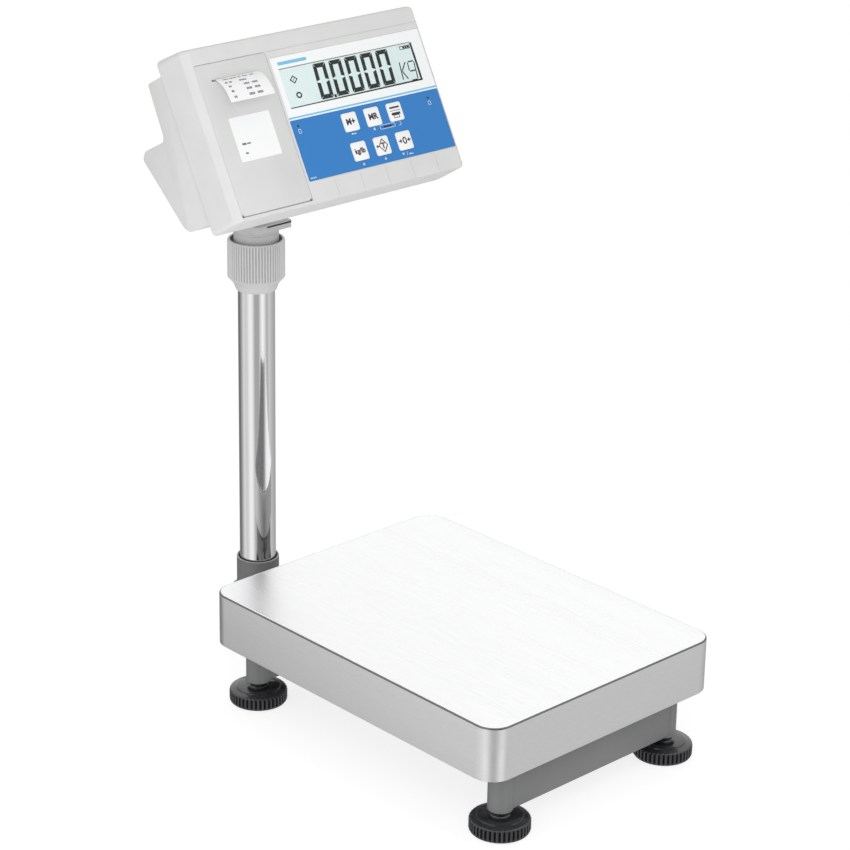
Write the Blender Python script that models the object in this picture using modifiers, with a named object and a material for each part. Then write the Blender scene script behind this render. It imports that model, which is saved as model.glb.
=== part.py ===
"""Label-printing bench scale: a steel base on four screw feet, a lift-off weighing tray and an
indicator on a pillar. Units are metres, +X is the user's right, +Y runs back to the pillar and
+Z is up. The origin is on the floor at the middle of the overall box."""

import math

import bmesh
import bpy
from mathutils import Matrix

MM = 0.001
GAP = 0.3 * MM  # clearance between pieces that touch

# Driving dimensions
TRAY_WIDTH = 300 * MM
TRAY_LENGTH = 400 * MM
TRAY_TOP = 124 * MM  # height of the weighing surface above the floor
SKIRT_HEIGHT = 54.6 * MM
TRAY_CORNER = 22 * MM
TRAY_SHEET = 1.2 * MM
TRAY_Y = -66.5 * MM  # middle of the tray, front to back
PILLAR_Y = TRAY_Y + 305.7 * MM
FOOT_X = 111 * MM
FOOT_Y = 173 * MM  # from the middle of the tray
FOOT_RADIUS = 29.1 * MM
FOOT_HEIGHT = 17 * MM
LEG_RADIUS = 12.3 * MM
LEG_BOTTOM = 22.5 * MM
BEAM_BOTTOM = 25 * MM
BEAM_TOP = 60 * MM
TUBE_RADIUS = 19 * MM
TUBE_TOP = TRAY_TOP + 285 * MM
NUT_RADIUS = 29.35 * MM
NUT_TOP = TRAY_TOP + 308 * MM
TILT_PIVOT_Z = TRAY_TOP + 364.8 * MM

# Indicator, in its own frame: X right, Y back from the face, Z up the face, and the origin at the
# middle of the face's top edge
FACE_TOP = (0.0, TRAY_Y + 233.7 * MM, TRAY_TOP + 537 * MM)
FACE_LEAN = math.radians(28.5)
FACE_HALF_WIDTH = 142 * MM
FACE_HEIGHT = 167 * MM
CASE_HALF_WIDTH = 147 * MM
CASE_WALL = 2.5 * MM
CASE_SPLIT = 37 * MM  # depth of the joint between the bezel and the rear shell
PIVOT_DEPTH = 145.4 * MM
PIVOT_RISE = -116.9 * MM

DISPLAY = (-45 * MM, 127 * MM, -74 * MM, -34 * MM)  # left, right, bottom, top
OVERLAY = (-51.5 * MM, 140.5 * MM, -145.5 * MM, -22.5 * MM)
COVER = (-140.5 * MM, -54.5 * MM, -161.5 * MM, -15.5 * MM)
KEY_SIZE = 18.5 * MM
KEY_COLUMNS = (19.7 * MM, 48.9 * MM, 78.2 * MM)
KEY_ROWS = (-98.6 * MM, -128.2 * MM)
KEY_NAMES = (
    ("key_memory_add", "key_memory_recall", "key_mode_print"),
    ("key_units", "key_tare", "key_zero"),
)
PLATEN_DEPTH, PLATEN_RISE = 13 * MM, -38 * MM
GEAR_MODULE = 0.8 * MM
PLATEN_TEETH, PINION_TEETH = 20, 12
GEAR_LEFT, GEAR_RIGHT = -68.5 * MM, -64.5 * MM
ROLL_DEPTH, ROLL_RISE = 44 * MM, -105 * MM
LABEL_LEFT, LABEL_RIGHT = -124.5 * MM, -71.5 * MM

MATERIALS = {
    # name: (colour, roughness, metallic)
    "painted_frame": ((0.27, 0.28, 0.28), 0.5, 0.0),
    "stainless": ((0.78, 0.78, 0.79), 0.3, 1.0),
    "zinc_steel": ((0.66, 0.67, 0.68), 0.35, 1.0),
    "aluminium": ((0.72, 0.73, 0.75), 0.4, 1.0),
    "chrome": ((0.85, 0.86, 0.87), 0.06, 1.0),
    "black_rubber": ((0.02, 0.02, 0.024), 0.6, 0.0),
    "black_plastic": ((0.02, 0.021, 0.026), 0.35, 0.0),
    "collar_grey": ((0.13, 0.13, 0.13), 0.5, 0.0),
    "nut_grey": ((0.55, 0.55, 0.55), 0.45, 0.0),
    "case_grey": ((0.72, 0.72, 0.71), 0.5, 0.0),
    "key_white": ((0.85, 0.85, 0.85), 0.4, 0.0),
    "overlay_blue": ((0.05, 0.24, 0.56), 0.4, 0.0),
    "lens": ((0.8, 0.86, 0.84), 0.05, 0.0),
    "display_green": ((0.55, 0.65, 0.6), 0.3, 0.0),
    "board_green": ((0.03, 0.16, 0.07), 0.45, 0.0),
    "battery_grey": ((0.12, 0.12, 0.13), 0.5, 0.0),
    "paper": ((0.88, 0.88, 0.86), 0.8, 0.0),
    "level_yellow": ((0.55, 0.75, 0.12), 0.15, 0.0),
}

parts = bpy.data.collections.new("bench_scale")
helpers = bpy.data.collections.new("cutters")


def start():
    for obj in list(bpy.data.objects):
        bpy.data.objects.remove(obj)
    bpy.context.scene.collection.children.link(parts)
    bpy.context.scene.collection.children.link(helpers)


def material(name):
    found = bpy.data.materials.get(name)
    if found:
        return found
    colour, roughness, metallic = MATERIALS[name]
    made = bpy.data.materials.new(name)
    made.use_nodes = True
    shader = made.node_tree.nodes["Principled BSDF"]
    shader.inputs["Base Color"].default_value = (*colour, 1.0)
    shader.inputs["Roughness"].default_value = roughness
    shader.inputs["Metallic"].default_value = metallic
    return made


def add_object(name, mesh, finish, parent=None, at=(0, 0, 0)):
    """A piece when it has a finish, or else a helper that only cuts or joins."""
    obj = bpy.data.objects.new(name, mesh)
    obj.location = at
    obj.parent = parent
    if finish:
        mesh.materials.append(material(finish))
        parts.objects.link(obj)
    else:
        obj.hide_render = True
        obj.display_type = "WIRE"
        helpers.objects.link(obj)
    return obj


def mesh_of(name, shape):
    mesh = bpy.data.meshes.new(name)
    shape.to_mesh(mesh)
    shape.free()
    return mesh


def block(name, low, high, finish=None, parent=None, bevel=0.0):
    """A box between two corners, with its origin at its middle and its edges rounded by bevel."""
    shape = bmesh.new()
    size = [b - a for a, b in zip(low, high)]
    bmesh.ops.create_cube(shape, size=1.0, matrix=Matrix.Diagonal((*size, 1.0)))
    if bevel:
        bmesh.ops.bevel(shape, geom=shape.edges[:], offset=bevel, segments=2, profile=0.5, affect="EDGES")
    middle = [(a + b) / 2 for a, b in zip(low, high)]
    return add_object(name, mesh_of(name, shape), finish, parent, middle)


def turned(name, profile, at, finish=None, parent=None, along_x=False, steps=32):
    """A solid of revolution about Z, or about X, from (radius, height) points that run down its outer
    side. A profile that stays off the axis closes on itself and makes a ring."""
    shape = bmesh.new()
    points = [shape.verts.new((radius, 0, height)) for radius, height in profile]
    pairs = list(zip(points, points[1:]))
    if profile[0][0] > 0:
        pairs.append((points[-1], points[0]))
    for pair in pairs:
        shape.edges.new(pair)
    obj = add_object(name, mesh_of(name, shape), finish, parent, at)
    if along_x:
        obj.rotation_euler = (0, math.pi / 2, 0)
    screw = obj.modifiers.new("turn", "SCREW")
    screw.steps = screw.render_steps = steps
    screw.use_merge_vertices = True
    screw.merge_threshold = 0.01 * MM
    return obj


def cylinder(name, radius, low, high, at, finish=None, parent=None, along_x=False, steps=32):
    profile = [(0, high), (radius, high), (radius, low), (0, low)]
    return turned(name, profile, at, finish, parent, along_x, steps)


def ring(name, outer, inner, low, high, at, finish=None, parent=None, steps=32):
    profile = [(outer, high), (outer, low), (inner, low), (inner, high)]
    return turned(name, profile, at, finish, parent, steps=steps)


def side_prism(name, outline, left, right, finish=None, parent=None):
    """A flat outline of (y, z) points, extruded along X from left to right."""
    curve = bpy.data.curves.new(name, "CURVE")
    curve.dimensions = "2D"
    curve.fill_mode = "BOTH"
    curve.extrude = (right - left) / 2
    spline = curve.splines.new("POLY")
    spline.points.add(len(outline) - 1)
    for point, (y, z) in zip(spline.points, outline):
        point.co = (y, z, 0, 1)
    spline.use_cyclic_u = True
    drawn = bpy.data.objects.new(name + "_outline", curve)
    helpers.objects.link(drawn)
    graph = bpy.context.evaluated_depsgraph_get()
    mesh = bpy.data.meshes.new_from_object(drawn.evaluated_get(graph))
    bpy.data.objects.remove(drawn)
    mesh.name = name
    shape = bmesh.new()
    shape.from_mesh(mesh)
    bmesh.ops.remove_doubles(shape, verts=shape.verts, dist=0.01 * MM)
    y_to_x = Matrix(((0, 0, 1, 0), (1, 0, 0, 0), (0, 1, 0, 0), (0, 0, 0, 1)))
    bmesh.ops.transform(shape, matrix=y_to_x, verts=shape.verts)
    bmesh.ops.recalc_face_normals(shape, faces=shape.faces)
    shape.to_mesh(mesh)
    shape.free()
    return add_object(name, mesh, finish, parent, ((left + right) / 2, 0, 0))


def boolean(target, tool, operation):
    step = target.modifiers.new(tool.name, "BOOLEAN")
    step.operation = operation
    step.object = tool
    step.solver = "EXACT"


def cut(target, *tools):
    for tool in tools:
        boolean(target, tool, "DIFFERENCE")


def join(target, *tools):
    for tool in tools:
        boolean(target, tool, "UNION")


def smooth(obj, angle=35):
    obj.data.shade_smooth()
    obj.data.set_sharp_from_angle(angle=math.radians(angle))


def corner_names():
    """Each foot's name ending, side (-1 left, 1 right) and end (-1 front, 1 rear)."""
    for end_name, end in (("front", -1), ("rear", 1)):
        for side_name, side in (("left", -1), ("right", 1)):
            yield f"{end_name}_{side_name}", side, end


# Base frame

def add_crossmember(name, end):
    """An inverted channel between two hollow legs."""
    y = TRAY_Y + end * FOOT_Y
    wall = 2.5 * MM
    low, high = (-FOOT_X, y - LEG_RADIUS, BEAM_BOTTOM), (FOOT_X, y + LEG_RADIUS, BEAM_TOP)
    beam = block(name, low, high, "painted_frame")
    hollow = block(
        name + "_channel",
        (-FOOT_X, y - LEG_RADIUS + wall, LEG_BOTTOM - wall),
        (FOOT_X, y + LEG_RADIUS - wall, BEAM_TOP - wall),
    )
    cut(beam, hollow)
    for side in (-1, 1):
        at = (side * FOOT_X, y, 0)
        leg = cylinder(f"{name}_leg_{side}", LEG_RADIUS, LEG_BOTTOM, BEAM_TOP, at, steps=28)
        join(beam, leg)
    for side in (-1, 1):
        at = (side * FOOT_X, y, 0)
        cut(beam, cylinder(f"{name}_bore_{side}", LEG_RADIUS - wall, 0, BEAM_TOP - 2 * wall, at, steps=20))


def add_spine():
    """An inverted channel that ties the two crossmembers together under the load cell."""
    half, wall = 25 * MM, 2.5 * MM
    reach = FOOT_Y - LEG_RADIUS - GAP
    spine = block(
        "base_spine",
        (-half, TRAY_Y - reach, BEAM_BOTTOM),
        (half, TRAY_Y + reach, BEAM_TOP),
        "painted_frame",
    )
    hollow = block(
        "spine_channel",
        (-half + wall, TRAY_Y - FOOT_Y, BEAM_BOTTOM - wall),
        (half - wall, TRAY_Y + FOOT_Y, BEAM_TOP - wall),
    )
    cut(spine, hollow)


def add_foot(corner, side, end):
    """A rubber sole that stays still on the floor, and the knurled wheel above it, moulded on its stud."""
    at = (side * FOOT_X, TRAY_Y + end * FOOT_Y, 0)
    sole_height, sole_radius = 3 * MM, FOOT_RADIUS - 3 * MM
    cylinder("foot_sole_" + corner, sole_radius, 0, sole_height, at, "black_rubber")
    wheel_low = 1.2 * MM
    shoulder = FOOT_RADIUS - 4 * MM
    neck, neck_top = 9 * MM, LEG_BOTTOM - GAP
    stud_radius, stud_top = 5 * MM, 50 * MM
    recess = sole_radius + GAP
    wheel = [
        (0, stud_top),
        (stud_radius, stud_top),
        (stud_radius, neck_top),
        (neck, neck_top),
        (neck, FOOT_HEIGHT),
        (shoulder - 1.5 * MM, FOOT_HEIGHT - 0.4 * MM),
        (shoulder, FOOT_HEIGHT - 2 * MM),
        (FOOT_RADIUS - 1.2 * MM, FOOT_HEIGHT - 3 * MM),
        (FOOT_RADIUS, FOOT_HEIGHT - 4.2 * MM),
        (FOOT_RADIUS, wheel_low + 1.5 * MM),
        (FOOT_RADIUS - 1.2 * MM, wheel_low),
        (recess, wheel_low),
        (recess, sole_height + GAP),
        (0, sole_height + GAP),
    ]
    turned("foot_wheel_" + corner, wheel, at, "black_plastic", steps=40)


def add_load_path():
    """The single-point load cell on its two spacers, and the platform that it carries."""
    cell_half, cell_reach = 20 * MM, 65 * MM
    pad_reach = 18 * MM
    heights = [BEAM_TOP + GAP]
    for thickness in (4, 22, 6):
        heights.append(heights[-1] + thickness * MM)
        heights.append(heights[-1] + GAP)
    low_spacer, cell, high_spacer = zip(heights[0::2], heights[1::2])
    rear_end = TRAY_Y + cell_reach
    front_end = TRAY_Y - cell_reach
    block(
        "cell_spacer_lower",
        (-cell_half, rear_end - 2 * pad_reach, low_spacer[0]),
        (cell_half, rear_end, low_spacer[1]),
        "zinc_steel",
    )
    load_cell = block(
        "load_cell",
        (-cell_half, front_end, cell[0]),
        (cell_half, rear_end, cell[1]),
        "aluminium",
        bevel=0.8 * MM,
    )
    middle = (cell[0] + cell[1]) / 2
    for index, y in enumerate((TRAY_Y - 11 * MM, TRAY_Y + 11 * MM)):
        at = (0, y, middle)
        hole = cylinder(f"cell_hole_{index}", 7.5 * MM, -30 * MM, 30 * MM, at, along_x=True, steps=24)
        cut(load_cell, hole)
    slot = block(
        "cell_slot",
        (-30 * MM, TRAY_Y - 11 * MM, middle - 2 * MM),
        (30 * MM, TRAY_Y + 11 * MM, middle + 2 * MM),
    )
    cut(load_cell, slot)
    block(
        "cell_spacer_upper",
        (-cell_half, front_end, high_spacer[0]),
        (cell_half, front_end + 2 * pad_reach, high_spacer[1]),
        "zinc_steel",
    )
    return high_spacer[1] + GAP


def add_platform(low):
    """A plate between two rails, with a rubber pad at each end of a rail and a stop screw below."""
    plate_half_length, plate_thickness = 75 * MM, 8 * MM
    rail_inner, rail_outer, rail_reach = 85 * MM, 105 * MM, 180 * MM
    rail_top = TRAY_TOP - 10.8 * MM
    pad_y = 165 * MM
    block(
        "platform_plate",
        (-rail_inner + GAP, TRAY_Y - plate_half_length, low),
        (rail_inner - GAP, TRAY_Y + plate_half_length, low + plate_thickness),
        "aluminium",
    )
    for side_name, side in (("left", -1), ("right", 1)):
        edges = sorted((side * rail_inner, side * rail_outer))
        block(
            "platform_rail_" + side_name,
            (edges[0], TRAY_Y - rail_reach, low),
            (edges[1], TRAY_Y + rail_reach, rail_top),
            "aluminium",
            bevel=0.8 * MM,
        )
    pad_profile = [
        (0, TRAY_TOP - TRAY_SHEET - GAP),
        (7 * MM, TRAY_TOP - TRAY_SHEET - GAP),
        (9 * MM, rail_top + GAP),
        (0, rail_top + GAP),
    ]
    stop_gap = 1.2 * MM
    for corner, side, end in corner_names():
        at = (side * (rail_inner + rail_outer) / 2, TRAY_Y + end * pad_y, 0)
        turned("tray_pad_" + corner, pad_profile, at, "black_rubber", steps=16)
        stop = [
            (0, low - stop_gap),
            (6 * MM, low - stop_gap),
            (6 * MM, low - stop_gap - 5 * MM),
            (4 * MM, low - stop_gap - 5 * MM),
            (4 * MM, BEAM_TOP + GAP),
            (0, BEAM_TOP + GAP),
        ]
        turned("stop_screw_" + corner, stop, at, "zinc_steel", steps=12)


def add_tray():
    """A deep-drawn sheet tray, open below."""
    shape = bmesh.new()
    size = (TRAY_WIDTH, TRAY_LENGTH, SKIRT_HEIGHT)
    bmesh.ops.create_cube(shape, size=1.0, matrix=Matrix.Diagonal((*size, 1.0)))
    below = [face for face in shape.faces if face.normal.z < -0.5]
    bmesh.ops.delete(shape, geom=below, context="FACES_ONLY")
    upright = [e for e in shape.edges if abs(e.verts[0].co.z - e.verts[1].co.z) > SKIRT_HEIGHT / 2]
    bmesh.ops.bevel(shape, geom=upright, offset=TRAY_CORNER, segments=6, profile=0.5, affect="EDGES")
    rim = [e for e in shape.edges if all(v.co.z > 0 for v in e.verts) and e.calc_face_angle(0) > 1]
    bmesh.ops.bevel(shape, geom=rim, offset=1.5 * MM, segments=2, profile=0.5, affect="EDGES")
    at = (0, TRAY_Y, TRAY_TOP - SKIRT_HEIGHT / 2)
    tray = add_object("weighing_tray", mesh_of("weighing_tray", shape), "stainless", at=at)
    sheet = tray.modifiers.new("sheet", "SOLIDIFY")
    sheet.thickness = TRAY_SHEET
    sheet.offset = -1
    sheet.use_even_offset = True
    smooth(tray)


# Pillar

def add_pillar():
    axis = (0, PILLAR_Y, 0)
    arm_low, arm_high = 24 * MM, 46 * MM
    arm_end = 28 * MM
    collar_outer, collar_inner = 22.3 * MM, 20.4 * MM
    collar_low, collar_top = arm_low, TRAY_TOP - 42 * MM
    arm_front = TRAY_Y + FOOT_Y + LEG_RADIUS + GAP
    low, high = (-arm_end, arm_front, arm_low), (arm_end, PILLAR_Y, arm_high)
    arm = block("pillar_bracket", low, high, "painted_frame")
    join(arm, cylinder("bracket_end", arm_end, arm_low, arm_high, axis))
    cut(arm, cylinder("bracket_bore", collar_outer + GAP, 0, 2 * arm_high, axis))
    seat = 6 * MM
    collar = [
        (collar_outer, collar_top),
        (collar_outer, collar_low),
        (TUBE_RADIUS - 8 * MM, collar_low),
        (TUBE_RADIUS - 8 * MM, collar_low + seat),
        (TUBE_RADIUS + GAP, collar_low + seat),
        (TUBE_RADIUS + GAP, collar_top - 8 * MM),
        (collar_inner, collar_top - 4 * MM),
        (collar_inner, collar_top),
    ]
    turned("pillar_collar", collar, axis, "collar_grey", steps=40)
    tube_low = collar_low + seat + GAP
    ring("pillar_tube", TUBE_RADIUS, TUBE_RADIUS - 1.5 * MM, tube_low, TUBE_TOP, axis, "chrome", steps=40)
    vial_top = arm_high + 6 * MM
    vial_at = (0, arm_front + 35 * MM, 0)
    vial = [
        (0, vial_top),
        (9 * MM, vial_top),
        (10 * MM, vial_top - 1 * MM),
        (10 * MM, arm_high + GAP),
        (0, arm_high + GAP),
    ]
    turned("level_vial", vial, vial_at, "level_yellow", steps=20)


def add_clamp():
    """The split collet on the tube, and the ribbed nut that closes it."""
    axis = (0, PILLAR_Y, 0)
    collet_low, collet_high = TRAY_TOP + 261 * MM, TRAY_TOP + 284 * MM
    ring("pillar_collet", 22.4 * MM, TUBE_RADIUS + GAP, collet_low, collet_high, axis, "black_plastic")
    nut_low = TRAY_TOP + 254.5 * MM
    bore = 22.7 * MM
    nut = [
        (NUT_RADIUS - 0.8 * MM, NUT_TOP),
        (NUT_RADIUS, NUT_TOP - 0.8 * MM),
        (NUT_RADIUS, nut_low + 13 * MM),
        (23.5 * MM, nut_low + 8 * MM),
        (20.5 * MM, nut_low),
        (TUBE_RADIUS + GAP, nut_low),
        (TUBE_RADIUS + GAP, collet_low - GAP),
        (bore, collet_low - GAP),
        (bore, collet_high + GAP),
        (26.4 * MM, collet_high + 6 * MM),
        (26.4 * MM, NUT_TOP),
    ]
    turned("clamp_nut", nut, axis, "nut_grey", steps=48)


def add_head():
    """The swivel head: a spigot in the tube, a flange on its end, a top block and the tilt tongue."""
    axis = (0, PILLAR_Y, 0)
    block_low, block_high = TRAY_TOP + 321.8 * MM, TRAY_TOP + 329.9 * MM
    block_half, block_reach = 22.6 * MM, NUT_RADIUS
    tongue_half, tongue_radius = 7 * MM, 12 * MM
    bolt_radius = 4 * MM
    profile = [
        (0, block_low + 2 * MM),
        (23 * MM, block_low + 2 * MM),
        (23 * MM, TUBE_TOP + GAP),
        (TUBE_RADIUS - 1.9 * MM, TUBE_TOP + GAP),
        (TUBE_RADIUS - 1.9 * MM, TUBE_TOP - 40 * MM),
        (0, TUBE_TOP - 40 * MM),
    ]
    head = turned("swivel_head", profile, axis, "nut_grey", steps=40)
    top = block(
        "head_block",
        (-block_half, PILLAR_Y - block_reach, block_low),
        (block_half, PILLAR_Y + block_reach, block_high),
    )
    tongue = block(
        "head_tongue",
        (-tongue_half, PILLAR_Y - tongue_radius, block_high - 2 * MM),
        (tongue_half, PILLAR_Y + tongue_radius, TILT_PIVOT_Z),
    )
    pivot = (0, PILLAR_Y, TILT_PIVOT_Z)
    eye = cylinder("head_eye", tongue_radius, -tongue_half, tongue_half, pivot, along_x=True, steps=24)
    join(head, top, tongue, eye)
    reach = 2 * tongue_half
    cut(head, cylinder("head_bore", bolt_radius + GAP, -reach, reach, pivot, along_x=True, steps=20))
    inner, end, cap = 12.5 * MM, 20 * MM, 8 * MM
    half_bolt = [(0, end), (cap, end), (cap, inner), (bolt_radius, inner)]
    bolt = half_bolt + [(radius, -height) for radius, height in reversed(half_bolt)]
    turned("tilt_bolt", bolt, pivot, "zinc_steel", along_x=True, steps=20)


# Indicator

def face_frame():
    """An empty at the middle of the face's top edge, leaning back with the face."""
    frame = bpy.data.objects.new("indicator_frame", None)
    frame.location = FACE_TOP
    frame.rotation_euler = (-FACE_LEAN, 0, 0)
    parts.objects.link(frame)
    bpy.context.view_layer.update()
    return frame


def window(name, edges, margin, face):
    """A cutter through the bezel's face wall, larger than the edges by margin."""
    left, right, bottom, top = edges
    deep = 4 * CASE_WALL
    low, high = (left - margin, -deep, bottom - margin), (right + margin, deep, top + margin)
    return block(name, low, high, parent=face)


def key_centres():
    for names, rise in zip(KEY_NAMES, KEY_ROWS):
        for name, x in zip(names, KEY_COLUMNS):
            yield name, x, rise


def add_front_bezel(face):
    """A chamfered tray, open behind, lofted from three rectangles."""
    sections = (
        # depth, half width, bottom, top
        (0, FACE_HALF_WIDTH, -FACE_HEIGHT, 0),
        (8 * MM, CASE_HALF_WIDTH, -FACE_HEIGHT - 0.3 * MM, 2.7 * MM),
        (CASE_SPLIT, CASE_HALF_WIDTH, -FACE_HEIGHT - 1.9 * MM, 4.3 * MM),
    )
    shape = bmesh.new()
    rings = []
    for depth, half, bottom, top in sections:
        corners = ((-half, bottom), (half, bottom), (half, top), (-half, top))
        rings.append([shape.verts.new((x, depth, z)) for x, z in corners])
    shape.faces.new(rings[0])
    for near, far in zip(rings, rings[1:]):
        for i in range(4):
            j = (i + 1) % 4
            shape.faces.new((near[i], far[i], far[j], near[j]))
    bmesh.ops.recalc_face_normals(shape, faces=shape.faces)
    bezel = add_object("front_bezel", mesh_of("front_bezel", shape), "case_grey", face)
    wall = bezel.modifiers.new("wall", "SOLIDIFY")
    wall.thickness = CASE_WALL
    wall.offset = -1
    wall.use_even_offset = True
    pocket_left, pocket_right, pocket_bottom, pocket_top = OVERLAY
    pocket = block(
        "overlay_pocket",
        (pocket_left - GAP, -5 * MM, pocket_bottom - GAP),
        (pocket_right + GAP, 0.8 * MM, pocket_top + GAP),
        parent=face,
    )
    cut(bezel, pocket, window("display_window", DISPLAY, 0, face))
    left, right, bottom, top = COVER
    cut(bezel, window("cover_window", (left, right, bottom - 1.5 * MM, top), 0.5 * MM, face))
    for name, x, rise in key_centres():
        half = KEY_SIZE / 2
        cut(bezel, window(name + "_window", (x - half, x + half, rise - half, rise + half), GAP, face))


def add_rear_shell(face):
    """The back of the case, open in front: a rim, a shallow block and a deeper wedge below it."""
    outline = [
        # depth, rise
        (CASE_SPLIT + GAP, 4.3 * MM),
        (45.3 * MM, 4.6 * MM),
        (46.5 * MM, -9.4 * MM),
        (73.5 * MM, -9.6 * MM),
        (76.5 * MM, -66 * MM),
        (112 * MM, -66 * MM),
        (118.5 * MM, -72.5 * MM),
        (90 * MM, -149 * MM),
        (84.5 * MM, -155 * MM),
        (43.5 * MM, -157.2 * MM),
        (41.5 * MM, -169.1 * MM),
        (CASE_SPLIT + GAP, -168.9 * MM),
    ]
    half = CASE_HALF_WIDTH - 0.5 * MM
    shape = bmesh.new()
    sides = [[shape.verts.new((x, depth, rise)) for depth, rise in outline] for x in (-half, half)]
    for side in sides:
        shape.faces.new(side)
    for i in range(len(outline) - 1):
        shape.faces.new((sides[0][i], sides[0][i + 1], sides[1][i + 1], sides[1][i]))
    bmesh.ops.recalc_face_normals(shape, faces=shape.faces)
    shell = add_object("rear_shell", mesh_of("rear_shell", shape), "case_grey", face)
    wall = shell.modifiers.new("wall", "SOLIDIFY")
    wall.thickness = 1.8 * MM
    wall.offset = -1
    wall.use_even_offset = True
    deep = 12 * MM
    rocker = block(
        "rocker_hole",
        (90 * MM, 75 * MM - deep, -45 * MM),
        (104 * MM, 75 * MM + deep, -25 * MM),
        parent=face,
    )
    inlet = block(
        "inlet_hole",
        (51.5 * MM, 75 * MM - deep, -44.5 * MM),
        (68.5 * MM, 75 * MM + deep, -27.5 * MM),
        parent=face,
    )
    cut(shell, rocker, inlet)


def add_power_parts(face):
    """The rocker switch, which tips about X, and the low-voltage inlet, in the rear wall."""
    rocker_half, rocker_half_height = 6.5 * MM, 9 * MM
    rocker_outline = [
        (70 * MM, -rocker_half_height),
        (77 * MM, -rocker_half_height),
        (79.5 * MM, 0),
        (79.5 * MM, rocker_half_height),
        (70 * MM, rocker_half_height),
    ]
    middle = -35 * MM
    outline = [(depth, rise + middle) for depth, rise in rocker_outline]
    left, right = 97 * MM - rocker_half, 97 * MM + rocker_half
    rocker = side_prism("power_rocker", outline, left, right, "black_plastic", face)
    rocker.data.transform(Matrix.Translation((0, -74 * MM, -middle)))
    rocker.location = (97 * MM, 74 * MM, middle)
    inlet = block(
        "power_inlet",
        (52 * MM, 61 * MM, -44 * MM),
        (68 * MM, 77.5 * MM, -28 * MM),
        "black_plastic",
        face,
    )
    socket = block("inlet_socket", (54 * MM, 64 * MM, -42 * MM), (66 * MM, 80 * MM, -30 * MM), parent=face)
    cut(inlet, socket)


def add_display(face):
    left, right, bottom, top = DISPLAY
    block(
        "display_lens",
        (left + GAP, 0.2 * MM, bottom + GAP),
        (right - GAP, 1.8 * MM, top - GAP),
        "lens",
        face,
    )
    block(
        "display_panel",
        (left - 4 * MM, 2.9 * MM, bottom - 4 * MM),
        (right + 4 * MM, 5.9 * MM, top + 4 * MM),
        "display_green",
        face,
    )


def add_overlay(face):
    """The printed sheet, with a window for the display and a hole for each key."""
    left, right, bottom, top = OVERLAY
    sheet = block("membrane_overlay", (left, 0.1 * MM, bottom), (right, 0.5 * MM, top), "overlay_blue", face)
    cut(sheet, window("overlay_display", DISPLAY, 0, face))
    for name, x, rise in key_centres():
        half = KEY_SIZE / 2
        edges = (x - half, x + half, rise - half, rise + half)
        cut(sheet, window(name + "_hole", edges, GAP, face))


def add_keys(face):
    half = KEY_SIZE / 2
    for name, x, rise in key_centres():
        low, high = (x - half, -0.9 * MM, rise - half), (x + half, 4.6 * MM, rise + half)
        block(name, low, high, "key_white", face, bevel=0.7 * MM)
    block("key_board", (5 * MM, 6 * MM, -142 * MM), (93 * MM, 7.6 * MM, -85 * MM), "board_green", face)


def add_electronics(face):
    low, high = (-44 * MM, 16 * MM, -140 * MM), (128 * MM, 17.6 * MM, -30 * MM)
    board = block("main_board", low, high, "board_green", face)
    parts_on_board = (
        # x, rise, half width, half height, depth behind the board
        (0, -60, 8, 8, 2.5),
        (40, -95, 6, 10, 12),
        (90, -60, 14, 5, 9),
        (100, -120, 9, 9, 6),
    )
    for index, values in enumerate(parts_on_board):
        x, rise, half_width, half_height, depth = (value * MM for value in values)
        low = (x - half_width, 17 * MM, rise - half_height)
        high = (x + half_width, 17.6 * MM + depth, rise + half_height)
        join(board, block(f"board_part_{index}", low, high, parent=face))
    low, high = (38 * MM, 36 * MM, -148 * MM), (132 * MM, 70 * MM, -80 * MM)
    block("battery_pack", low, high, "battery_grey", face, bevel=1.5 * MM)


def gear_outline(teeth, turn):
    """A spur gear's outline about the origin, with straight flanks and its first tooth at turn."""
    pitch_radius = GEAR_MODULE * teeth / 2
    tip, root = pitch_radius + 0.8 * GEAR_MODULE, pitch_radius - 1.15 * GEAR_MODULE
    step = 2 * math.pi / teeth
    points = []
    for tooth in range(teeth):
        for offset, radius in ((-0.29, root), (-0.13, tip), (0.13, tip), (0.29, root)):
            angle = turn + (tooth + offset) * step
            points.append((radius * math.cos(angle), radius * math.sin(angle)))
    return points


def add_gear(name, teeth, turn, depth, face, bore=None):
    gear = side_prism(name, gear_outline(teeth, turn), GEAR_LEFT, GEAR_RIGHT, "black_plastic", face)
    gear.location = ((GEAR_LEFT + GEAR_RIGHT) / 2, depth, PLATEN_RISE)
    if bore:
        reach = 10 * MM
        cut(gear, cylinder(name + "_bore", bore, -reach, reach, gear.location, None, face, True, 16))
    return gear


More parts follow.
